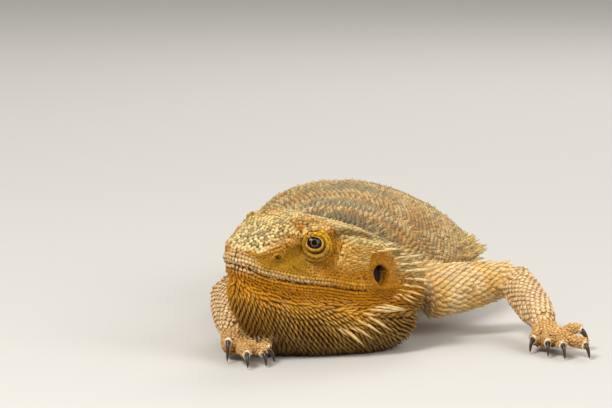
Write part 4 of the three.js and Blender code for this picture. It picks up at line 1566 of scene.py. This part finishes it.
class DragonSettings(bpy.types.PropertyGroup):
    """Sizes and colours of the dressed dragon."""

    voxel: bpy.props.FloatProperty(
        name="Skin cell",
        description="How fine the skin's mesh is, before the face is refined",
        default=0.9 * MM,
        min=0.6 * MM,
        max=3 * MM,
        unit="LENGTH",
        subtype="DISTANCE",
    )
    crown_colour: colour_setting("Crown", "Scales on top of the head", 0xEAC880)
    crown_pale: colour_setting("Snout ridge", "Scales on top of the snout", 0xFFE6AC)
    crown_gap: colour_setting("Crown gaps", "Skin between the scales of the crown", 0x6A5A30)
    cheek_colour: colour_setting("Cheek", "Scales in front of and below the eye", 0xB07206)
    # also the colour of the painted shade behind the eye and under the brow
    cheek_gap_and_shade: colour_setting("Cheek gaps", "Skin between the scales of the cheek", 0x6E4710)
    lore_colour: colour_setting("Lore", "Small scales between the eye and the snout", 0xA4740A)
    brow_colour: colour_setting("Brow", "Scales along the ridge over the eye", 0xD8923A)
    temple_colour: colour_setting("Temple", "Keeled scales behind the eye", 0xE8B45C)
    lid_colour: colour_setting("Lids", "Granules of the eyelids", 0xE4AC20)
    # painted shade on the lower lids
    lower_lid_shade: colour_setting("Lower lids", "Granules of the lower eyelids", 0x8A5C0C)
    # painted shade in the creases of the lids
    lid_fold_shade: colour_setting("Lid folds", "Folds between the rings of the eyelids", 0x4A2E06)
    lip_colour: colour_setting("Lips", "Scales along the mouth", 0xD89A30)
    lip_pale: colour_setting("Upper lip", "The pale edge of the upper lip", 0xF0D09C)
    snout_colour: colour_setting("Snout", "The tip of the snout", 0xECC896)
    jaw_colour: colour_setting("Jaw", "Scales below the mouth", 0xDE9210)
    jaw_gap: colour_setting("Jaw gaps", "Skin between the scales of the jaw", 0x5C3A0C)
    beard_colour: colour_setting("Beard", "Spines of the throat pouch", 0xDE9A12)
    # partly the lower beard's own colour, partly painted shade
    beard_low_and_shade: colour_setting("Lower beard", "Scales under the throat pouch", 0x684006)
    # also paints shade over the lower rear of the beard
    beard_gap_and_shade: colour_setting("Beard gaps", "Skin between the spines of the beard", 0x1E1206)
    spine_colour: colour_setting("Spines", "The long pale spines", 0xF2DAA0)
    ear_colour: colour_setting("Ear", "The smooth hollow round the ear", 0xAE7214)
    # painted shade inside the ears and nostrils, in the eye sockets and along the mouth
    hollow_shade: colour_setting("Hollows", "Inside the ears and nostrils", 0x1E0E05)
    back_colour: colour_setting("Back", "Scales of the back and tail", 0xCB9E5A)
    back_warm: colour_setting("Back, warm", "Orange-tan patches of the back", 0xBE8641)
    back_pale: colour_setting("Back, pale", "Pale scales among those of the back", 0xE0C184)
    fringe_colour: colour_setting("Fringe", "Pale scales along each flank", 0xE2BC76)
    back_gap: colour_setting("Back gaps", "Skin between the scales of the back", 0x8A6E48)
    grey_colour: colour_setting("Back, grey", "Grey bands across the middle of the back", 0x9C8E68)
    speckle_colour: colour_setting("Speckles", "Single grey scales on the back", 0x6A6652)
    # partly the neck's own grey, partly painted shade
    neck_and_shade_colour: colour_setting("Neck", "Scales of the neck behind the beard", 0x7E6C4C)
    belly_colour: colour_setting("Belly", "Scales of the underside", 0xD6C39C)
    belly_gap: colour_setting("Belly gaps", "Skin between the scales of the underside", 0x9C8660)
    limb_colour: colour_setting("Limbs", "Scales of the arms and legs", 0xECC175)
    forearm_colour: colour_setting("Forearms", "Scales of the forearms and shanks", 0xF7D6A8)
    limb_pale: colour_setting("Limbs, pale", "Pale scales of the arms and legs", 0xF2D9AA)
    limb_gap: colour_setting("Limb gaps", "Skin between the scales of the limbs", 0xBE8C50)
    paw_colour: colour_setting("Toes", "Scales of the hands and feet", 0xEABB78)
    # painted shade under the hands and feet
    sole_shade: colour_setting("Soles", "The undersides of the hands and feet", 0x7A5228)
    iris_colour: colour_setting("Iris", "The iris near the pupil", 0xB8801C)
    iris_rim: colour_setting("Iris rim", "The outer iris, under the lids", 0x3A1E06)
    iris_dark: colour_setting("Inner iris", "The dark iris round the pupil", 0x140C05)
    pupil_ring: colour_setting("Pupil ring", "The bright rings round the pupil and the iris", 0xE6B650)
    pupil_colour: colour_setting("Pupil", "The pupil", 0x050302)
    claw_colour: colour_setting("Claw", "The horn of the claws", 0x33241A)
    claw_edge: colour_setting("Claw edge", "The clearer horn along each claw's inner edge", 0xA87038)
    cuticle_colour: colour_setting("Cuticle", "The pale scale over each claw's base", 0xEBDDC4)
    floor_colour: colour_setting("Floor", "The plain floor under the model", 0xC9C5BE)


class DRAGON_OT_skin(bpy.types.Operator):
    """Builds the one skin that lies inside the frame's flesh"""

    bl_idname = "dragon.skin"
    bl_label = "Skin"

    def execute(self, context):
        skin = build_skin(context.scene.dragon.voxel / MM)
        body_fields(skin)
        store_tints(skin.mesh, skin.ground)
        skin.mesh.polygons.foreach_set("use_smooth", np.ones(len(skin.mesh.polygons), bool))
        material = tinted_material("skin", 0.6, 0.25, 0.05)
        place_piece("skin", skin.mesh, material, "back_scales", FLESH)
        _made["skin"] = skin
        return {"FINISHED"}


class DRAGON_OT_scales(bpy.types.Operator):
    """Covers the skin with its scales and short spines"""

    bl_idname = "dragon.scales"
    bl_label = "Scales"

    def execute(self, context):
        if "skin" not in _made:
            raise RuntimeError("build the skin first")
        plan = coat_plan(_made["skin"])
        spiny = plan["spiny"] > 0.5
        smooth = (plan["kind"] == "head") & ~spiny & (plan["tilt"] < 9)
        shapes = ((GRANULE, smooth), (KEELED, ~smooth & ~spiny), (SPINY, spiny))
        for part, (kinds, slot) in COAT_PIECES.items():
            mine = np.isin(plan["kind"], kinds)
            parts = [leaves(plan, mine & mask, shape) for shape, mask in shapes if (mine & mask).any()]
            name = f"{part}_scales"
            material = tinted_material(name, 0.55, 0.18, 0.03, gloss=0.12)
            verts, tris, uvs, tints = stacked(parts)
            place_piece(name, mesh_of(name, verts, tris, tints, uvs), material, slot)
        return {"FINISHED"}


class DRAGON_OT_eyes(bpy.types.Operator):
    """Builds the two eyes"""

    bl_idname = "dragon.eyes"
    bl_label = "Eyes"

    def execute(self, context):
        for eye, side in zip(EYES, (1, -1)):
            name = f"{eye}_ball"
            material = tinted_material("eye", 0.07, 0.3, 0.0, 0.1, gloss=0.16)
            place_piece(name, eyeball(name, side, context.scene.dragon), material, "eye", (eye,))
        return {"FINISHED"}


class DRAGON_OT_claws(bpy.types.Operator):
    """Builds the claws at the ends of the digits"""

    bl_idname = "dragon.claws"
    bl_label = "Claws"

    def execute(self, context):
        for limb, paw in PAWS.items():
            for number, (start, end) in enumerate(digits(limb), 1):
                claw = f"claw_{paw}_{number}"
                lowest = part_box(claw)[0][2] / MM
                way = unit((end - start) * (1, 1, 0))
                base = end - way * CLAW_ROOT[0] - (0, 0, CLAW_ROOT[1])
                tip = np.array([*(base + way * CLAW_REACH)[:2], max(lowest, CLAW_GAP)])
                material = tinted_material("claw", 0.3, 0.3, 0.01, 0.15, gloss=0.45)
                mesh = claw_mesh(claw, base, tip, way, context.scene.dragon)
                place_piece(f"{claw}_horn", mesh, material, "claw", (claw,))
        return {"FINISHED"}


class DRAGON_OT_stage(bpy.types.Operator):
    """Sets the floor, the lights and the camera"""

    bl_idname = "dragon.stage"
    bl_label = "Stage"

    def execute(self, context):
        scene = context.scene
        mesh = bpy.data.meshes.new("floor")
        corners = [(x * FLOOR_HALF, y * FLOOR_HALF, 0) for x, y in ((-1, -1), (1, -1), (1, 1), (-1, 1))]
        mesh.from_pydata(corners, [], [(0, 1, 2, 3)])
        floor = bpy.data.objects.new("floor", mesh)
        scene.collection.objects.link(floor)
        material = bpy.data.materials.new("floor")
        material.use_nodes = True
        shader = material.node_tree.nodes["Principled BSDF"]
        shader.inputs["Base Color"].default_value = (*scene.dragon.floor_colour, 1)
        shader.inputs["Roughness"].default_value = 0.9
        mesh.materials.append(material)
        world = bpy.data.worlds.new("studio")
        world.use_nodes = True
        background = world.node_tree.nodes["Background"]
        background.inputs["Color"].default_value = (1.0, 0.99, 0.97, 1)
        background.inputs["Strength"].default_value = 0.52
        scene.world = world
        for name, (place, size, power) in LIGHTS.items():
            light = bpy.data.lights.new(name, "AREA")
            light.size = size
            light.energy = power
            lamp = bpy.data.objects.new(name, light)
            lamp.location = place
            lamp.rotation_euler = (Vector(LIT_PLACE) - Vector(place)).to_track_quat("-Z", "Y").to_euler()
            scene.collection.objects.link(lamp)
        set_camera(scene)
        scene.view_settings.view_transform = "Standard"
        return {"FINISHED"}


class DRAGON_PT_panel(bpy.types.Panel):
    """The dragon's operators and settings"""

    bl_label = "Bearded dragon"
    bl_idname = "DRAGON_PT_panel"
    bl_space_type = "VIEW_3D"
    bl_region_type = "UI"
    bl_category = "Dragon"

    def draw(self, context):
        for operator in OPERATORS:
            self.layout.operator(operator.bl_idname)
        for name in DragonSettings.__annotations__:
            self.layout.prop(context.scene.dragon, name)


OPERATORS = (DRAGON_OT_skin, DRAGON_OT_scales, DRAGON_OT_eyes, DRAGON_OT_claws, DRAGON_OT_stage)
CLASSES = (DragonSettings, *OPERATORS, DRAGON_PT_panel)


def register():
    """Makes the operators, the panel and the settings known to Blender."""
    for one in CLASSES:
        bpy.utils.register_class(one)
    bpy.types.Scene.dragon = bpy.props.PointerProperty(type=DragonSettings)


def unregister():
    """Takes them away again."""
    del bpy.types.Scene.dragon
    for one in reversed(CLASSES):
        bpy.utils.unregister_class(one)


def main():
    """Builds every piece."""
    register()
    bpy.ops.dragon.skin()
    bpy.ops.dragon.scales()
    bpy.ops.dragon.eyes()
    bpy.ops.dragon.claws()
    bpy.ops.dragon.stage()


if __name__ == "__main__":
    main()
